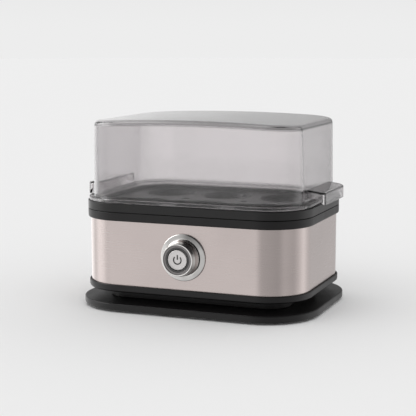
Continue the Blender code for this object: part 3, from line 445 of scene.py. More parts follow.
post_ways = [
    skin(f"way_{i}", circles([
        (POST_HEAD_WAY, 0.002), (POST_HEAD_WAY, POST_SEAT), (POST_SHANK_WAY, POST_SEAT),
        (POST_SHANK_WAY, 0.034),
    ], at, 32))
    for i, at in enumerate(spots(*POST_AT))
]
combine(tub, post_ways, "DIFFERENCE")
dressed(tub, black_abs, "housing", "black_plastic", "lower_housing")
for i in range(1, 5):
    lo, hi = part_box(f"housing_screw_{i}")
    at = ((lo[0] + hi[0]) / 2, (lo[1] + hi[1]) / 2)
    screw(f"post_screw_{i}", at, 0.0032, 0.0014, POST_SEAT - FINE_GAP, hi[2], f"housing_screw_{i}")


# ---- Steel band ------------------------------------------------------------------------------
# A strip of 0.8 mm stainless steel, brushed along its length and bent round the housing. The
# grinding lines run level round the cooker and stretch every reflection upright.
STEEL_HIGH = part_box("steel_shell")[1][2]
SWITCH_Z = 0.0422
BARREL_R = 0.0114


def on_front(rows):
    """Turns rows that stand up about the middle to point out of the steel's front face."""
    return np.stack([rows[..., 0], -STEEL_Y - rows[..., 2], SWITCH_Z + rows[..., 1]], -1)


def brushed():
    """Brushed stainless steel: streaks that are long round the band and thin upright, as bump and
    as changes of gloss, over a warm grey metal."""
    mat = bpy.data.materials.new("brushed stainless steel")
    mat.use_nodes = True
    tree = mat.node_tree
    tree.nodes.clear()
    where = node(tree, "TexCoord").outputs["Object"]
    # Grit 320 lines are under 0.05 mm apart; these are 0.35 mm, the finest that still show.
    long = node(tree, "Mapping", {"Vector": where, "Scale": (14.0, 14.0, 2800.0)})
    short = node(tree, "Mapping", {"Vector": where, "Scale": (60.0, 60.0, 1300.0)})
    fine = node(tree, "TexNoise", {"Vector": long.outputs[0], "Scale": 1.0, "Detail": 4.0,
                                   "Roughness": 0.7})
    broad = node(tree, "TexNoise", {"Vector": short.outputs[0], "Scale": 1.0, "Detail": 2.0})
    cloud = node(tree, "TexNoise", {"Vector": where, "Scale": 26.0, "Detail": 3.0})
    lines = node(tree, "Math", {0: fine.outputs["Fac"], 1: broad.outputs["Fac"]}, operation="ADD")
    gloss = node(tree, "MapRange", {"Value": lines.outputs[0], "From Min": 0.7, "From Max": 1.3,
                                    "To Min": 0.23, "To Max": 0.28})
    tint = node(tree, "MapRange", {"Value": lines.outputs[0], "From Min": 0.7, "From Max": 1.3,
                                   "To Min": 0.99, "To Max": 1.01})
    wash = node(tree, "MapRange", {"Value": cloud.outputs["Fac"], "From Min": 0.3, "From Max": 0.7,
                                   "To Min": 0.97, "To Max": 1.03})
    tone = node(tree, "Math", {0: tint.outputs[0], 1: wash.outputs[0]}, operation="MULTIPLY")
    base = node(tree, "HueSaturation", {"Value": tone.outputs[0], "Color": srgb("C5BAB7")})
    bump = node(tree, "Bump", {"Height": fine.outputs["Fac"], "Distance": 0.000006, "Strength": 0.14})
    along = node(tree, "Tangent", direction_type="RADIAL", axis="Z")
    shader = node(tree, "BsdfPrincipled", {
        "Base Color": base.outputs[0], "Metallic": 1.0, "Roughness": gloss.outputs[0],
        "Anisotropic": 0.7, "Anisotropic Rotation": 0.25, "Tangent": along.outputs[0],
        "Normal": bump.outputs[0],
    })
    node(tree, "OutputMaterial", {"Surface": shader.outputs[0]})
    return mat


stainless = brushed()
band = skin("steel_band", eased(around([
    (0, STEEL_LOW), (0, 0.030), (0, 0.055), (0, STEEL_HIGH), (STEEL_T, STEEL_HIGH), (STEEL_T, STEEL_LOW),
]), [0.0002, 0, 0, 0.0002, 0.0002, 0.0002], steps=2, ring=True), ring=True)
switch_hole = circles([(BARREL_R + 0.0005, -0.01), (BARREL_R + 0.0005, 0.01)])
combine(band, [skin("cut_switch", on_front(switch_hole))], "DIFFERENCE")
dressed(band, stainless, "housing", "steel", "steel_shell")


# ---- Upper ring ------------------------------------------------------------------------------
# A black ABS ring caps the steel. Its outer band stands proud of the metal, and an inner ledge
# carries the silicone seal and the water dish.
RING_OUT = 0.0019
lo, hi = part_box("upper_ring")
RING_HIGH, SKIRT_LOW = hi[2], 0.0580
RING_LOW = 0.0659
RING_WALL = 0.0020
LEDGE_IN, LEDGE_HIGH, LEDGE_LOW = 0.0130, 0.0646, 0.0624
POST_R, STRAP_POST_R, STRAP_POST_X, STRAP_POST_LOW = 0.0042, 0.0040, 0.077, 0.0458
POST_TOP = 0.0636
ring_wall = groove_in + RING_WALL
ring_rows = around([
    (ring_wall, SKIRT_LOW), (groove_in, SKIRT_LOW), (groove_in, STEEL_HIGH + GROOVE),
    (-GROOVE, STEEL_HIGH + GROOVE), (-GROOVE, RING_LOW), (-RING_OUT, RING_LOW),
    (-RING_OUT, RING_HIGH), (ring_wall, RING_HIGH), (ring_wall, LEDGE_HIGH), (LEDGE_IN, LEDGE_HIGH),
    (LEDGE_IN, LEDGE_LOW), (ring_wall, LEDGE_LOW),
])
ring_ease = [0.0003, 0.0003, 0, 0, 0.0001, 0.0016, 0.0004, 0.0004, 0, 0.0004, 0.0004, 0]
ring = skin("upper_ring_moulding", eased(ring_rows, ring_ease, ring=True), ring=True)
posts = [skin(f"post_{i}", circles([(POST_R, lo[2]), (POST_R, POST_TOP)], at, 32))
         for i, at in enumerate(spots(*POST_AT))]
for i, side in enumerate((1, -1)):
    post = circles([(STRAP_POST_R, STRAP_POST_LOW), (STRAP_POST_R, POST_TOP)], (side * STRAP_POST_X, 0), 32)
    posts.append(skin(f"strap_post_{i}", post))
combine(ring, posts, "UNION")
dressed(ring, black_abs, "housing", "black_plastic", "upper_ring")


# ---- Water dish and seal ---------------------------------------------------------------------
# Shallow pressed aluminium dish, satin with a trace of scale from boiled water; its flange lies on
# a silicone seal. The heater is clamped under it.
lo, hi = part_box("water_dish")
DISH_LOW, FLANGE_HIGH = lo[2], hi[2]
DISH_T, DISH_IN, DISH_FLAT = 0.0008, 0.0146, 0.034
flange_low = FLANGE_HIGH - DISH_T
flange_in = STEEL_X - hi[0]
aluminium = plated("satin pressed aluminium", "B9BBBD", 0.36, 3.0)
dish = skin("water_dish_pressing", eased(around([
    (DISH_FLAT, DISH_LOW), (DISH_IN + 0.0050, DISH_LOW), (DISH_IN + 0.0004, flange_low),
    (flange_in, flange_low), (flange_in, FLANGE_HIGH), (DISH_IN + 0.0012, FLANGE_HIGH),
    (DISH_IN + 0.0056, DISH_LOW + DISH_T), (DISH_FLAT, DISH_LOW + DISH_T),
]), [0, 0.0022, 0.0012, 0.0002, 0.0002, 0.0016, 0.0026, 0], steps=6))
dressed(dish, aluminium, "housing", "aluminium", "water_dish")


# ---- Heater, thermostat, wiring and switch inside --------------------------------------------
# These lie behind the steel and keep their CAD shape: plated steel, steatite, PVC-sleeved wire
# and a glass-fibre board, each with its own finish.
steatite = moulded("fired steatite", "CFC7B8", 0.62, 0.6, 0.03)
inner_abs = moulded("moulded dark grey ABS", "3A3A3A", 0.5, 0.5, 0.03)
nylon = moulded("white nylon", "D7D4CC", 0.45, 0.6, 0.02)
silicone = moulded("translucent silicone", "B9B4AE", 0.55, 0.8, 0.02)
red_pvc = moulded("red PVC sleeving", "7B2A22", 0.42, 0.9, 0.02)
blue_pvc = moulded("blue PVC sleeving", "24406E", 0.42, 0.9, 0.02)
fibre_board = moulded("green glass-fibre board", "2F5A3C", 0.4, 0.7, 0.02)
inside = {
    zinc: ["heating_element", "element_clamp", "dish_strap", "clamp_stud_1", "clamp_stud_2", "clamp_nut_1",
           "clamp_nut_2", "strap_screw_1", "strap_screw_2", "fuse_clip", "switch_nut"],
    steatite: ["thermostat"],
    inner_abs: ["switch_body", "button_stem"],
    nylon: ["terminal_block", "thermal_fuse", "element_wire", "switch_wire"],
    silicone: ["dish_seal"],
    red_pvc: ["live_wire", "thermostat_wire"],
    blue_pvc: ["neutral_wire"],
    fibre_board: ["lamp_board"],
}
for mat, members in inside.items():
    for member in members:
        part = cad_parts[member]
        part.data.materials.clear()
        part.data.materials.append(mat)


# ---- Switch bezel and collar -----------------------------------------------------------------
# Bright chrome-plated zinc: a shallow cone-shaped bezel on the steel, and a barrel that flares to
# it and ends in a flat rim.
BEZEL_R, BEZEL_H, BEZEL_EDGE = 0.0172, 0.0022, 0.0013
COLLAR_FOOT_R, COLLAR_RIM_R, COLLAR_BORE_R = 0.0133, 0.0119, 0.0107
REACH = 0.0116
TAIL_END, TAIL_BORE_R, FLOOR_BORE_R, FLOOR_IN, FLOOR_OUT = -0.0150, 0.0096, 0.0079, -0.0020, 0.0040


def polished(name, code, rough):
    """Bright plating. Wiping leaves soft streaks in the gloss and the cast metal under it is not
    quite flat, so edges of reflections waver slightly."""
    mat = bpy.data.materials.new(name)
    mat.use_nodes = True
    tree = mat.node_tree
    tree.nodes.clear()
    where = node(tree, "TexCoord").outputs["Object"]
    smear = node(tree, "TexNoise", {"Vector": where, "Scale": 180.0, "Detail": 4.0, "Distortion": 0.6})
    wave = node(tree, "TexNoise", {"Vector": where, "Scale": 90.0, "Detail": 1.0})
    gloss = node(tree, "MapRange", {"Value": smear.outputs["Fac"], "From Min": 0.3, "From Max": 0.7,
                                    "To Min": rough - 0.04, "To Max": rough + 0.05})
    tint = node(tree, "MapRange", {"Value": smear.outputs["Fac"], "From Min": 0.3, "From Max": 0.7,
                                   "To Min": 1.03, "To Max": 0.96})
    tone = node(tree, "HueSaturation", {"Value": tint.outputs[0], "Color": srgb(code)})
    bump = node(tree, "Bump", {"Height": wave.outputs["Fac"], "Distance": 0.00004, "Strength": 0.3})
    shader = node(tree, "BsdfPrincipled", {"Base Color": tone.outputs[0], "Metallic": 1.0,
                                           "Roughness": gloss.outputs[0], "Normal": bump.outputs[0]})
    node(tree, "OutputMaterial", {"Surface": shader.outputs[0]})
    return mat


chrome = polished("bright chrome plate", "DEDCDA", 0.12)
recess_r, recess_floor = COLLAR_FOOT_R + 0.0006, BEZEL_H - 0.0009
bezel_rows = eased(circles([
    (BARREL_R + FINE_GAP, FINE_GAP), (BEZEL_R, FINE_GAP), (BEZEL_R, BEZEL_EDGE), (recess_r, BEZEL_H),
    (recess_r, recess_floor), (BARREL_R + FINE_GAP, recess_floor),
], steps=96), [0, 0.0002, 0.0006, 0.0003, 0, 0], steps=5, ring=True)
bezel = skin("switch_bezel_plate", on_front(bezel_rows), ring=True)
dressed(bezel, chrome, "housing", "chrome", "switch_bezel")

foot = BEZEL_H + FINE_GAP
collar_rows = eased(circles([
    (COLLAR_BORE_R, REACH - 0.0006), (COLLAR_BORE_R + 0.0001, REACH), (COLLAR_RIM_R - 0.0003, REACH),
    (COLLAR_RIM_R, REACH - 0.0006), (COLLAR_RIM_R, 0.0064), (COLLAR_FOOT_R - 0.0001, 0.0036),
    (COLLAR_FOOT_R, foot + 0.0004), (COLLAR_FOOT_R - 0.0002, foot), (BARREL_R - 0.0001, foot),
    (BARREL_R - 0.0001, TAIL_END), (TAIL_BORE_R, TAIL_END), (TAIL_BORE_R, FLOOR_IN),
    (FLOOR_BORE_R, FLOOR_IN), (FLOOR_BORE_R, FLOOR_OUT), (COLLAR_BORE_R, FLOOR_OUT),
], steps=96), [0.0001, 0.0001, 0.0002, 0.0003, 0.0030, 0.0010, 0.0002, 0.0001, 0, 0, 0, 0, 0, 0, 0],
    steps=6, ring=True)
collar = skin("switch_collar_barrel", on_front(collar_rows), ring=True)
dressed(collar, chrome, "housing", "chrome", "switch_collar")


# ---- Light ring ------------------------------------------------------------------------------
# Smoky polycarbonate ring that lights up round the button. Unlit, its outer part looks grey and
# its inner part nearly black.
RING_INNER, RING_STEP, RING_FOOT = 0.0077, 0.0091, 0.0070
smoke = bpy.data.materials.new("smoked polycarbonate")
smoke.use_nodes = True
tree = smoke.node_tree
tree.nodes.clear()
where = node(tree, "TexCoord").outputs["Object"]
flow = node(tree, "TexNoise", {"Vector": where, "Scale": 500.0, "Detail": 3.0})
gloss = node(tree, "MapRange", {"Value": flow.outputs["Fac"], "From Min": 0.3, "From Max": 0.7,
                                "To Min": 0.16, "To Max": 0.26})
# Distance from the switch's axis parts the dark inner ring from the grey outer one.
centred = node(tree, "Mapping", {"Vector": where, "Location": (0.0, 0.0, -SWITCH_Z)})
flat = node(tree, "VectorMath", {0: centred.outputs[0], 1: (1.0, 0.0, 1.0)}, operation="MULTIPLY")
radius = node(tree, "VectorMath", {0: flat.outputs[0]}, operation="LENGTH")
step = node(tree, "MapRange", {"Value": radius.outputs["Value"], "From Min": RING_STEP - 0.0001,
                               "From Max": RING_STEP + 0.0001})
two_tone = node(tree, "Mix", {"Factor": step.outputs[0], 6: srgb("151313"), 7: srgb("6A6666")},
                data_type="RGBA")
shader = node(tree, "BsdfPrincipled", {"Base Color": two_tone.outputs[2], "Roughness": gloss.outputs[0],
                                       "IOR": 1.58, "Coat Weight": 0.5, "Coat Roughness": 0.08})
node(tree, "OutputMaterial", {"Surface": shader.outputs[0]})
lens_rows = eased(circles([
    (RING_INNER, RING_FOOT), (RING_INNER, REACH - 0.0009), (RING_STEP, REACH - 0.0009),
    (RING_STEP + 0.0001, REACH - 0.0006), (COLLAR_BORE_R - 0.0001, REACH - 0.0006),
    (COLLAR_BORE_R - 0.0001, RING_FOOT),
], steps=96), [0, 0.0002, 0.0001, 0.0001, 0.0001, 0], ring=True)
lens = skin("light_ring_lens", on_front(lens_rows), ring=True)
dressed(lens, smoke, "housing", "smoke", "light_ring")


# ---- Button ----------------------------------------------------------------------------------
# Silver-painted cap, slightly hollowed for the fingertip, with a printed dark grey on/off mark.
# It slides in the collar on a sprung stem.
CAP_R, CAP_T, CAP_HOLLOW = 0.0073, 0.0052, 0.00035
CAP_TOP = REACH - 0.0004
painted = bpy.data.materials.new("silver metallic paint")
painted.use_nodes = True
tree = painted.node_tree
tree.nodes.clear()
where = node(tree, "TexCoord").outputs["Object"]
flake = node(tree, "TexVoronoi", {"Vector": where, "Scale": 5200.0})
tint = node(tree, "MapRange", {"Value": flake.outputs["Distance"], "From Min": 0.0, "From Max": 0.7,
                               "To Min": 1.08, "To Max": 0.92})
tone = node(tree, "HueSaturation", {"Value": tint.outputs[0], "Color": srgb("D6D3D2")})
gloss = node(tree, "MapRange", {"Value": flake.outputs["Distance"], "To Min": 0.32, "To Max": 0.42})
shader = node(tree, "BsdfPrincipled", {"Base Color": tone.outputs[0], "Metallic": 0.7,
                                       "Roughness": gloss.outputs[0], "Coat Weight": 0.3})
node(tree, "OutputMaterial", {"Surface": shader.outputs[0]})
r = np.linspace(0.0006, CAP_R - 0.0009, 10)
hollow = [(float(a), float(CAP_TOP - CAP_HOLLOW + 0.00025 * (a / CAP_R) ** 2)) for a in r]
cap_rows = circles(hollow + [
    (CAP_R - 0.0004, CAP_TOP), (CAP_R, CAP_TOP - 0.0004), (CAP_R, CAP_TOP - CAP_T),
], steps=96)
cap = skin("button_cap_painted", on_front(eased(cap_rows, [0] * 10 + [0.0004, 0.0004, 0])),
           tips=on_front(np.array([[0, 0, CAP_TOP - CAP_HOLLOW], [0, 0, CAP_TOP - CAP_T]])))
dressed(cap, painted, "button", "silver", "button_cap")

# A compression spring of zinc-plated wire pushes the cap back.
lo, hi = (np.array(v, float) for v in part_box("button_spring"))
SPRING_FOOT_Y, BUTTON_TRAVEL, WIRE_R, TURNS = -0.0593, 0.0020, 0.00035, 4


def wire_coil(name, middle, reach, wire, low, high, turns, steps=24):
    """Round wire along a helix about the Y direction: at each step a circle that lies across the
    helix's own direction, made from its outward direction and their cross product."""
    turn = np.linspace(0, 2 * np.pi * turns, turns * steps + 1)
    out = np.stack([np.cos(turn), np.zeros_like(turn), np.sin(turn)], -1)
    line = middle + reach * out
    line[:, 1] = np.linspace(low, high, len(turn))
    along = np.gradient(line, axis=0)
    along /= np.linalg.norm(along, axis=1, keepdims=True)
    b = np.linspace(0, 2 * np.pi, 12, endpoint=False)[:, None]
    round_wire = out[:, None] * np.cos(b) + np.cross(along, out)[:, None] * np.sin(b)
    return skin(name, line[:, None] + wire * round_wire)


spring = wire_coil("return_spring", (lo + hi) / 2, (hi[0] - lo[0]) / 2 - WIRE_R, WIRE_R,
                   lo[1] + WIRE_R, hi[1] - WIRE_R, TURNS)
dressed(spring, zinc, "housing", "zinc", "button_spring")
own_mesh(spring)

ink = moulded("dark grey pad-printed ink", "2E2C2C", 0.5, 0.4, 0.01)
MARK_R, MARK_W, MARK_T, MARK_OPEN = 0.0029, 0.00088, 0.00034, 44


def inked(name, path, width, height):
    """Flat printed line: a low rectangle, rounded over its edges, carried along the path. Its
    width lies across the path and its height along the button's axis."""
    step = np.gradient(path, axis=0)
    step /= np.linalg.norm(step, axis=1, keepdims=True)
    across = np.stack([-step[:, 1], step[:, 0]], -1) * width / 2
    base = CAP_TOP - 0.00040
    sides = np.array([-1, -1, -0.8, 0.8, 1, 1])
    level = np.array([0, 0.6, 1, 1, 0.6, 0]) * height
    xy = path[:, None] + across[:, None] * sides[None, :, None]
    z = np.broadcast_to(base + level, xy.shape[:2])
    return skin(name, on_front(np.concatenate([xy, z[..., None]], -1)))


turn = np.radians(np.linspace(90 + MARK_OPEN, 90 + 360 - MARK_OPEN, 49))
arc = inked("on_off_arc", MARK_R * np.stack([np.cos(turn), np.sin(turn)], -1), MARK_W, MARK_T)
dressed(arc, ink, "button", "mark", "power_symbol_arc")
upright = np.stack([np.zeros(5), np.linspace(0.0037, 0.0003, 5)], -1)
bar = inked("on_off_bar", upright, MARK_W, MARK_T)
dressed(bar, ink, "button", "mark", "power_symbol_bar")


# ---- Egg tray --------------------------------------------------------------------------------
# Black polypropylene tray that rests on the ring: a stepped rim, a flat deck with six tapered cups
# open at the bottom, and two steam vents between them. It lifts out.
lo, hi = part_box("egg_tray")
RIM_LOW, RIM_HIGH, DECK, DECK_T = 0.0724, hi[2], 0.0760, 0.0018
SKIRT_FOOT, DECK_FLAT, CUP_WALL, VENT_R = 0.0686, 0.030, 0.0014, 0.0030
PITCH_X, ROW_Y = 0.0472, 0.0268
SEAT_R, HOLE_R, CUP_LOW = 0.0190, 0.0162, lo[2]
tray_skirt = ring_wall + 0.0008
tray = skin("egg_tray_moulding", eased(around([
    (DECK_FLAT, DECK - DECK_T), (tray_skirt + 0.0018, DECK - DECK_T), (tray_skirt + 0.0018, SKIRT_FOOT),
    (tray_skirt, SKIRT_FOOT), (tray_skirt, RIM_LOW), (-RING_OUT, RIM_LOW), (-RING_OUT, RIM_HIGH),
    (0.0042, RIM_HIGH), (0.0049, DECK), (DECK_FLAT, DECK),
]), [0, 0.0005, 0.0003, 0.0003, 0.0002, 0.0004, 0.0006, 0.0004, 0.0007, 0]))
seats = [(i * PITCH_X, s * ROW_Y) for i in (-1, 0, 1) for s in (1, -1)]
cups = [skin(f"cup_{i}", circles([(SEAT_R + CUP_WALL, DECK - PAST), (HOLE_R + CUP_WALL, CUP_LOW)], at, 72))
        for i, at in enumerate(seats)]
combine(tray, cups, "UNION")
slope = (SEAT_R - HOLE_R) / (DECK - CUP_LOW)
cutters = []
for i, at in enumerate(seats):
    mouth = circles([
        (SEAT_R + 0.0030, DECK + 0.0015), (SEAT_R + CUP_WALL, DECK + 0.0001), (SEAT_R, DECK - 0.0009),
        (HOLE_R - slope * 0.0015, CUP_LOW - 0.0015),
    ], at, 72)
    cutters.append(skin(f"mouth_{i}", eased(mouth, [0, 0.0006, 0.0008, 0])))
for i, side in enumerate((1, -1)):
    vent = circles([(VENT_R, DECK - 0.004), (VENT_R, DECK + 0.002)], (side * PITCH_X / 2, 0), 40)
    cutters.append(skin(f"vent_{i}", vent))
combine(tray, cutters, "DIFFERENCE")
tray_pp = moulded("moulded black polypropylene", "151414", 0.36, 0.5, 0.025)
dressed(tray, tray_pp, "tray", "black_plastic", "egg_tray")


# ---- Lid -------------------------------------------------------------------------------------
# One clear SAN moulding, 2 mm thick: a flange on the tray's rim, walls that lean in slightly, a
# softly crowned top, and two hollow finger grips. It is a little smoky, with faint flow marks.
LID_LOW, SKIRT_END = 0.0790, 0.0768
FLANGE_TOP = LID_LOW + 0.0025
WALL_TOP, SHOULDER, CROWN, LID_T = 0.1350, 0.1380, 0.0022, 0.0020
SKIRT_IN, SKIRT_T = 0.0052, 0.0016


def lid_rows(table):
    """Rows from (inset x, inset y, corner radius, height, crown). The crown lifts a row by
    crown times one minus the square of x over the row's half width."""
    in_x, in_y, r, z, crown = np.array(table, float).T
    flat = outline(STEEL_X - in_x, STEEL_Y - in_y, r, corner=20, side=12)
    reach = (STEEL_X - in_x)[:, None]
    return rows_at(flat, z[:, None] + crown[:, None] * (1 - (flat[..., 0] / reach) ** 2))


def lid_panel(in_x, in_y, r, z, shares):
    """The crowned top, as smaller and smaller copies of its edge about the middle."""
    shares = np.array(shares)[:, None, None]
    flat = outline(STEEL_X - in_x, STEEL_Y - in_y, r, corner=20, side=12) * shares
    return rows_at(flat, z + CROWN * (1 - (flat[..., 0] / (STEEL_X - in_x)) ** 2))


top = (0.0052, 0.0030, 0.0233)
ease_in = 0.0032
edge_out = (top[0] + ease_in, top[1] + ease_in, top[2] - ease_in)
edge_in = tuple(a + 0.6 * LID_T * s for a, s in zip(edge_out, (1, 1, -1)))
shares = [0.06, 0.2, 0.4, 0.6, 0.8, 0.92]
inner_panel = lid_panel(*edge_in, SHOULDER - LID_T, shares)
outer_panel = lid_panel(*edge_out, SHOULDER, shares[::-1])
skirt_r = STEEL_R - SKIRT_IN
walls = lid_rows([
    (*edge_in, SHOULDER - LID_T, CROWN),
    (top[0] + LID_T, top[1] + LID_T, top[2] - LID_T, WALL_TOP - 0.0004, CROWN),
    (0.0038 + LID_T, 0.0017 + LID_T, 0.0270 - LID_T, FLANGE_TOP + 0.0008, 0),
    (SKIRT_IN + SKIRT_T, SKIRT_IN + SKIRT_T, skirt_r - SKIRT_T, FLANGE_TOP - 0.0010, 0),
    (SKIRT_IN + SKIRT_T, SKIRT_IN + SKIRT_T, skirt_r - SKIRT_T, SKIRT_END, 0),
    (SKIRT_IN, SKIRT_IN, skirt_r, SKIRT_END, 0),
    (SKIRT_IN, SKIRT_IN, skirt_r, LID_LOW, 0),
    (-0.0004, -0.0009, 0.0306, LID_LOW, 0),
    (-0.0004, -0.0009, 0.0306, FLANGE_TOP, 0),
    (0.0036, 0.0015, 0.0272, FLANGE_TOP, 0),
    (0.0038, 0.0017, 0.0270, FLANGE_TOP + 0.0010, 0),
    (*top, WALL_TOP - 0.0006, CROWN),
    (top[0] + 0.25 * ease_in, top[1] + 0.25 * ease_in, top[2] - 0.25 * ease_in, SHOULDER - 0.0011, CROWN),
    (*edge_out, SHOULDER, CROWN),
])
all_rows = np.concatenate([inner_panel, walls, outer_panel])
rounds = [0] * len(shares) + [
    0.0030, 0.0018, 0.0010, 0.0004, 0.0003, 0.0003, 0.0003, 0.0005, 0.0007, 0.0008, 0.0008, 0.0020, 0.0012,
    0.0030,
] + [0] * len(shares)
lid = skin("clear_lid", eased(all_rows, rounds, steps=6),
           tips=[(0, 0, SHOULDER - LID_T + CROWN), (0, 0, SHOULDER + CROWN)])

GRIP_HALF, GRIP_REACH, GRIP_T, GRIP_ROUND = 0.0280, 0.0944, 0.0018, 0.0048
GRIP_WALL_X = STEEL_X - 0.0038 - 0.0010
GRIP_HIGH_IN, GRIP_HIGH_OUT = 0.0908, 0.0889
GRIP_LIP_LOW, GRIP_END_LOW = 0.0797, 0.0843


def grip_path(inset, steps=10):
    """Plan line of a grip, from the wall out, round two corners and back, moved in by inset."""
    r = GRIP_ROUND - inset
    turn = np.linspace(0, np.pi / 2, steps + 1)
    x_mid, y_mid = GRIP_REACH - GRIP_ROUND, GRIP_HALF - GRIP_ROUND
    first = np.stack([x_mid + r * np.sin(turn), -y_mid - r * np.cos(turn)], -1)
    last = np.stack([x_mid + r * np.cos(turn), y_mid + r * np.sin(turn)], -1)
    start = np.array([[GRIP_WALL_X, -GRIP_HALF + inset], [(GRIP_WALL_X + x_mid) / 2, -GRIP_HALF + inset]])
    face = np.stack([np.full(7, x_mid + r), np.linspace(-y_mid, y_mid, 9)[1:-1]], -1)
    return np.concatenate([start, first, face, last, start[::-1] * (1, -1)])


def grip(name, side):
    """Hollow grip: a sloping ledge with a lip that hangs from its edge. The lip is deepest along
    the outer face and rises round the corners to a shallow web at each end."""
    outer, inner = grip_path(0.0), grip_path(GRIP_T)
    wall = np.stack([np.full(len(outer), GRIP_WALL_X), inner[:, 1]], -1)
    fall = (GRIP_HIGH_IN - GRIP_HIGH_OUT) / (GRIP_REACH - GRIP_WALL_X)

    def ledge(p):
        return GRIP_HIGH_IN - fall * (p[:, 0] - GRIP_WALL_X)

    out = np.clip((outer[:, 0] - (GRIP_REACH - GRIP_ROUND)) / GRIP_ROUND, 0, 1)
    low = GRIP_END_LOW + (GRIP_LIP_LOW - GRIP_END_LOW) * (out * out * (3 - 2 * out))
    section = [
        np.c_[wall, ledge(wall)], np.c_[outer, ledge(outer)], np.c_[outer, low], np.c_[inner, low],
        np.c_[inner, ledge(inner) - GRIP_T], np.c_[wall, ledge(wall) - GRIP_T],
    ]
    rows = eased(np.stack(section), [0, 0.0012, 0.0004, 0.0004, 0.0004, 0], ring=True)
    rows = rows.transpose(1, 0, 2) * (side, 1, 1)
    return skin(name, rows)


combine(lid, [grip("grip_right", 1), grip("grip_left", -1)], "UNION")

san = bpy.data.materials.new("clear moulded SAN")
san.use_nodes = True
tree = san.node_tree
tree.nodes.clear()
where = node(tree, "TexCoord").outputs["Object"]
stretch = node(tree, "Mapping", {"Vector": where, "Scale": (1.0, 1.0, 2.2)})
flow = node(tree, "TexNoise", {"Vector": stretch.outputs[0], "Scale": 28.0, "Detail": 2.0,
                               "Distortion": 0.8})
haze = node(tree, "TexNoise", {"Vector": where, "Scale": 900.0, "Detail": 4.0})
gloss = node(tree, "MapRange", {"Value": haze.outputs["Fac"], "From Min": 0.35, "From Max": 0.75,
                                "To Min": 0.04, "To Max": 0.10})
# Painted shade: the base colour greys where the wall is seen at a slant. It stands in for light that
# crosses the wall at a slant, goes through more of it and comes out greyer.
slant = node(tree, "LayerWeight", {"Blend": 0.5})
painted_slant_shade = node(tree, "Mix", {"Factor": slant.outputs["Facing"], 6: srgb("EEEBEC"), 7: srgb("A2A0A1")},
             data_type="RGBA")
bump = node(tree, "Bump", {"Height": flow.outputs["Fac"], "Distance": 0.0003, "Strength": 0.10})
shader = node(tree, "BsdfPrincipled", {"Base Color": painted_slant_shade.outputs[2], "Roughness": gloss.outputs[0],
                                       "IOR": 1.57, "Transmission Weight": 1.0,
                                       "Normal": bump.outputs[0]})
node(tree, "OutputMaterial", {"Surface": shader.outputs[0]})
dressed(lid, san, "lid", "clear", "lid")


# ---- Floor and light -------------------------------------------------------------------------
# A plain pale floor that runs out of sight under soft, even studio light, with a mild key from the
# upper left. Mirror-like surfaces see a calm surround, darker to the front right.
FLOOR_Z, FLOOR_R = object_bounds()[0][2], 9.0
floor_mat = bpy.data.materials.new("plain pale floor")
floor_mat.use_nodes = True
tree = floor_mat.node_tree
tree.nodes.clear()
shader = node(tree, "BsdfDiffuse", {"Color": (0.83, 0.83, 0.83, 1.0)})
node(tree, "OutputMaterial", {"Surface": shader.outputs[0]})
floor = skin("floor", circles([(FLOOR_R, FLOOR_Z - 0.01), (FLOOR_R, FLOOR_Z)], steps=64))
floor.data.materials.append(floor_mat)
floor.visible_glossy = False

world = bpy.data.worlds.new("studio")
bpy.context.scene.world = world
world.use_nodes = True
tree = world.node_tree
tree.nodes.clear()
toward = node(tree, "TexCoord").outputs["Generated"]
split = node(tree, "SeparateXYZ", {"Vector": toward})
front = node(tree, "Math", {0: split.outputs["Y"], 1: -1.0}, operation="MULTIPLY")
turn = node(tree, "Math", {0: split.outputs["X"], 1: front.outputs[0]}, operation="ARCTAN2")
share = node(tree, "MapRange", {"Value": turn.outputs[0], "From Min": -math.pi, "From Max": math.pi})
# Brightness that glossy surfaces see, by the way they face: degrees from the front towards the right.
SURROUND = [
    (-180, 0.66), (-156, 0.80), (-143, 1.50), (-118, 1.40), (-104, 0.90), (-84, 1.42), (-68, 1.25),
    (-52, 0.88), (-40, 1.00), (-16, 1.00), (-2, 0.64), (44, 0.54), (60, 0.72), (88, 0.62), (104, 0.84),
    (122, 1.22), (140, 0.84), (158, 0.66), (180, 0.66),
]
ramp = node(tree, "ValToRGB", {"Fac": share.outputs[0]})
while len(ramp.color_ramp.elements) < len(SURROUND):
    ramp.color_ramp.elements.new(0.5)
for element, (degrees, value) in zip(ramp.color_ramp.elements, SURROUND):
    element.position = (degrees + 180) / 360
    element.color = (value / 2, value / 2, value / 2, 1.0)
soft = node(tree, "Background", {"Color": (1.0, 1.0, 1.0, 1.0), "Strength": 1.0})
# The backdrop starts at the far floor's own tone and darkens a trace above it.
horizon = node(tree, "MapRange", {"Value": split.outputs["Z"], "From Min": 0.0, "From Max": 0.05},
               interpolation_type="SMOOTHSTEP")
backdrop = node(tree, "Mix", {"Factor": horizon.outputs[0], 6: srgb("EDEDED"), 7: srgb("E9E9E9")},
                data_type="RGBA")
seen = node(tree, "Background", {"Color": backdrop.outputs[2], "Strength": 1.0})
# High up, the front right is darker still, where the room behind the lamps is unlit.
rise = node(tree, "MapRange", {"Value": split.outputs["Z"], "From Min": 0.16, "From Max": 0.40},
            interpolation_type="SMOOTHSTEP")
side = node(tree, "Math", {0: turn.outputs[0], 1: math.radians(22)}, operation="SUBTRACT")
apart = node(tree, "Math", {0: side.outputs[0]}, operation="ABSOLUTE")
near = node(tree, "MapRange", {"Value": apart.outputs[0], "From Min": math.radians(34),
                               "From Max": math.radians(56), "To Min": 0.86, "To Max": 0.0},
            interpolation_type="SMOOTHSTEP")
unlit = node(tree, "Math", {0: rise.outputs[0], 1: near.outputs[0]}, operation="MULTIPLY")
kept = node(tree, "Math", {0: 1.0, 1: unlit.outputs[0]}, operation="SUBTRACT")
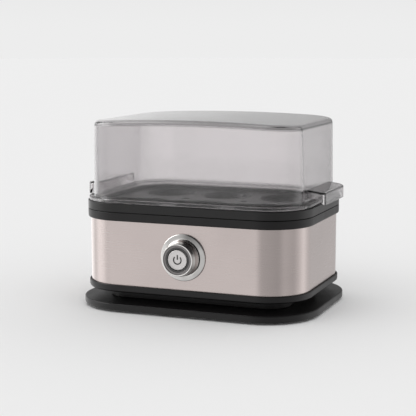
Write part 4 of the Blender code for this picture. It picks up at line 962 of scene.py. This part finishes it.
# The ceiling is dim, whatever is above the cooker is a little darker than what is level with it,
# and the floor close under it is dark.
roof = node(tree, "MapRange", {"Value": split.outputs["Z"], "From Min": 0.30, "From Max": 0.75,
                               "To Min": 1.0, "To Max": 0.45}, interpolation_type="SMOOTHSTEP")
high = node(tree, "MapRange", {"Value": split.outputs["Z"], "From Min": 0.02, "From Max": 0.14,
                               "To Min": 1.0, "To Max": 0.64}, interpolation_type="SMOOTHSTEP")
ground = node(tree, "MapRange", {"Value": split.outputs["Z"], "From Min": -0.85, "From Max": -0.45,
                                 "To Min": 0.35, "To Max": 1.0}, interpolation_type="SMOOTHSTEP")
upper = node(tree, "Math", {0: roof.outputs[0], 1: high.outputs[0]}, operation="MULTIPLY")
level = node(tree, "Math", {0: upper.outputs[0], 1: ground.outputs[0]}, operation="MULTIPLY")
lit = node(tree, "Math", {0: level.outputs[0], 1: kept.outputs[0]}, operation="MULTIPLY")
# A soft box stands high on the left.
box_way = Vector((-0.80, -0.30, 0.52)).normalized()
facing = node(tree, "VectorMath", {0: toward, 1: tuple(box_way)}, operation="DOT_PRODUCT")
box_light = node(tree, "MapRange", {"Value": facing.outputs["Value"], "From Min": 0.90, "From Max": 0.96,
                                    "To Min": 0.0, "To Max": 2.6}, interpolation_type="SMOOTHSTEP")
total = node(tree, "Math", {0: lit.outputs[0], 1: box_light.outputs[0]}, operation="ADD")
# The ramp holds half of each brightness, because a colour stop ends at 1.
doubled = node(tree, "Math", {0: total.outputs[0], 1: 2.0}, operation="MULTIPLY")
glossy = node(tree, "Background", {"Color": ramp.outputs[0], "Strength": doubled.outputs[0]})
path = node(tree, "LightPath")
first = node(tree, "MixShader", {
    "Fac": path.outputs["Is Glossy Ray"], 1: soft.outputs[0], 2: glossy.outputs[0],
})
both = node(tree, "MixShader", {
    "Fac": path.outputs["Is Camera Ray"], 1: first.outputs[0], 2: seen.outputs[0],
})
node(tree, "OutputWorld", {"Surface": both.outputs[0]})

key = bpy.data.objects.new("key", bpy.data.lights.new("key", "SUN"))
key.data.energy = 0.15
key.data.angle = math.radians(35)
key.rotation_euler = Vector((-0.55, -0.55, 0.85)).to_track_quat("Z", "Y").to_euler()
bpy.context.scene.collection.objects.link(key)
bpy.context.scene.view_settings.view_transform = "Standard"
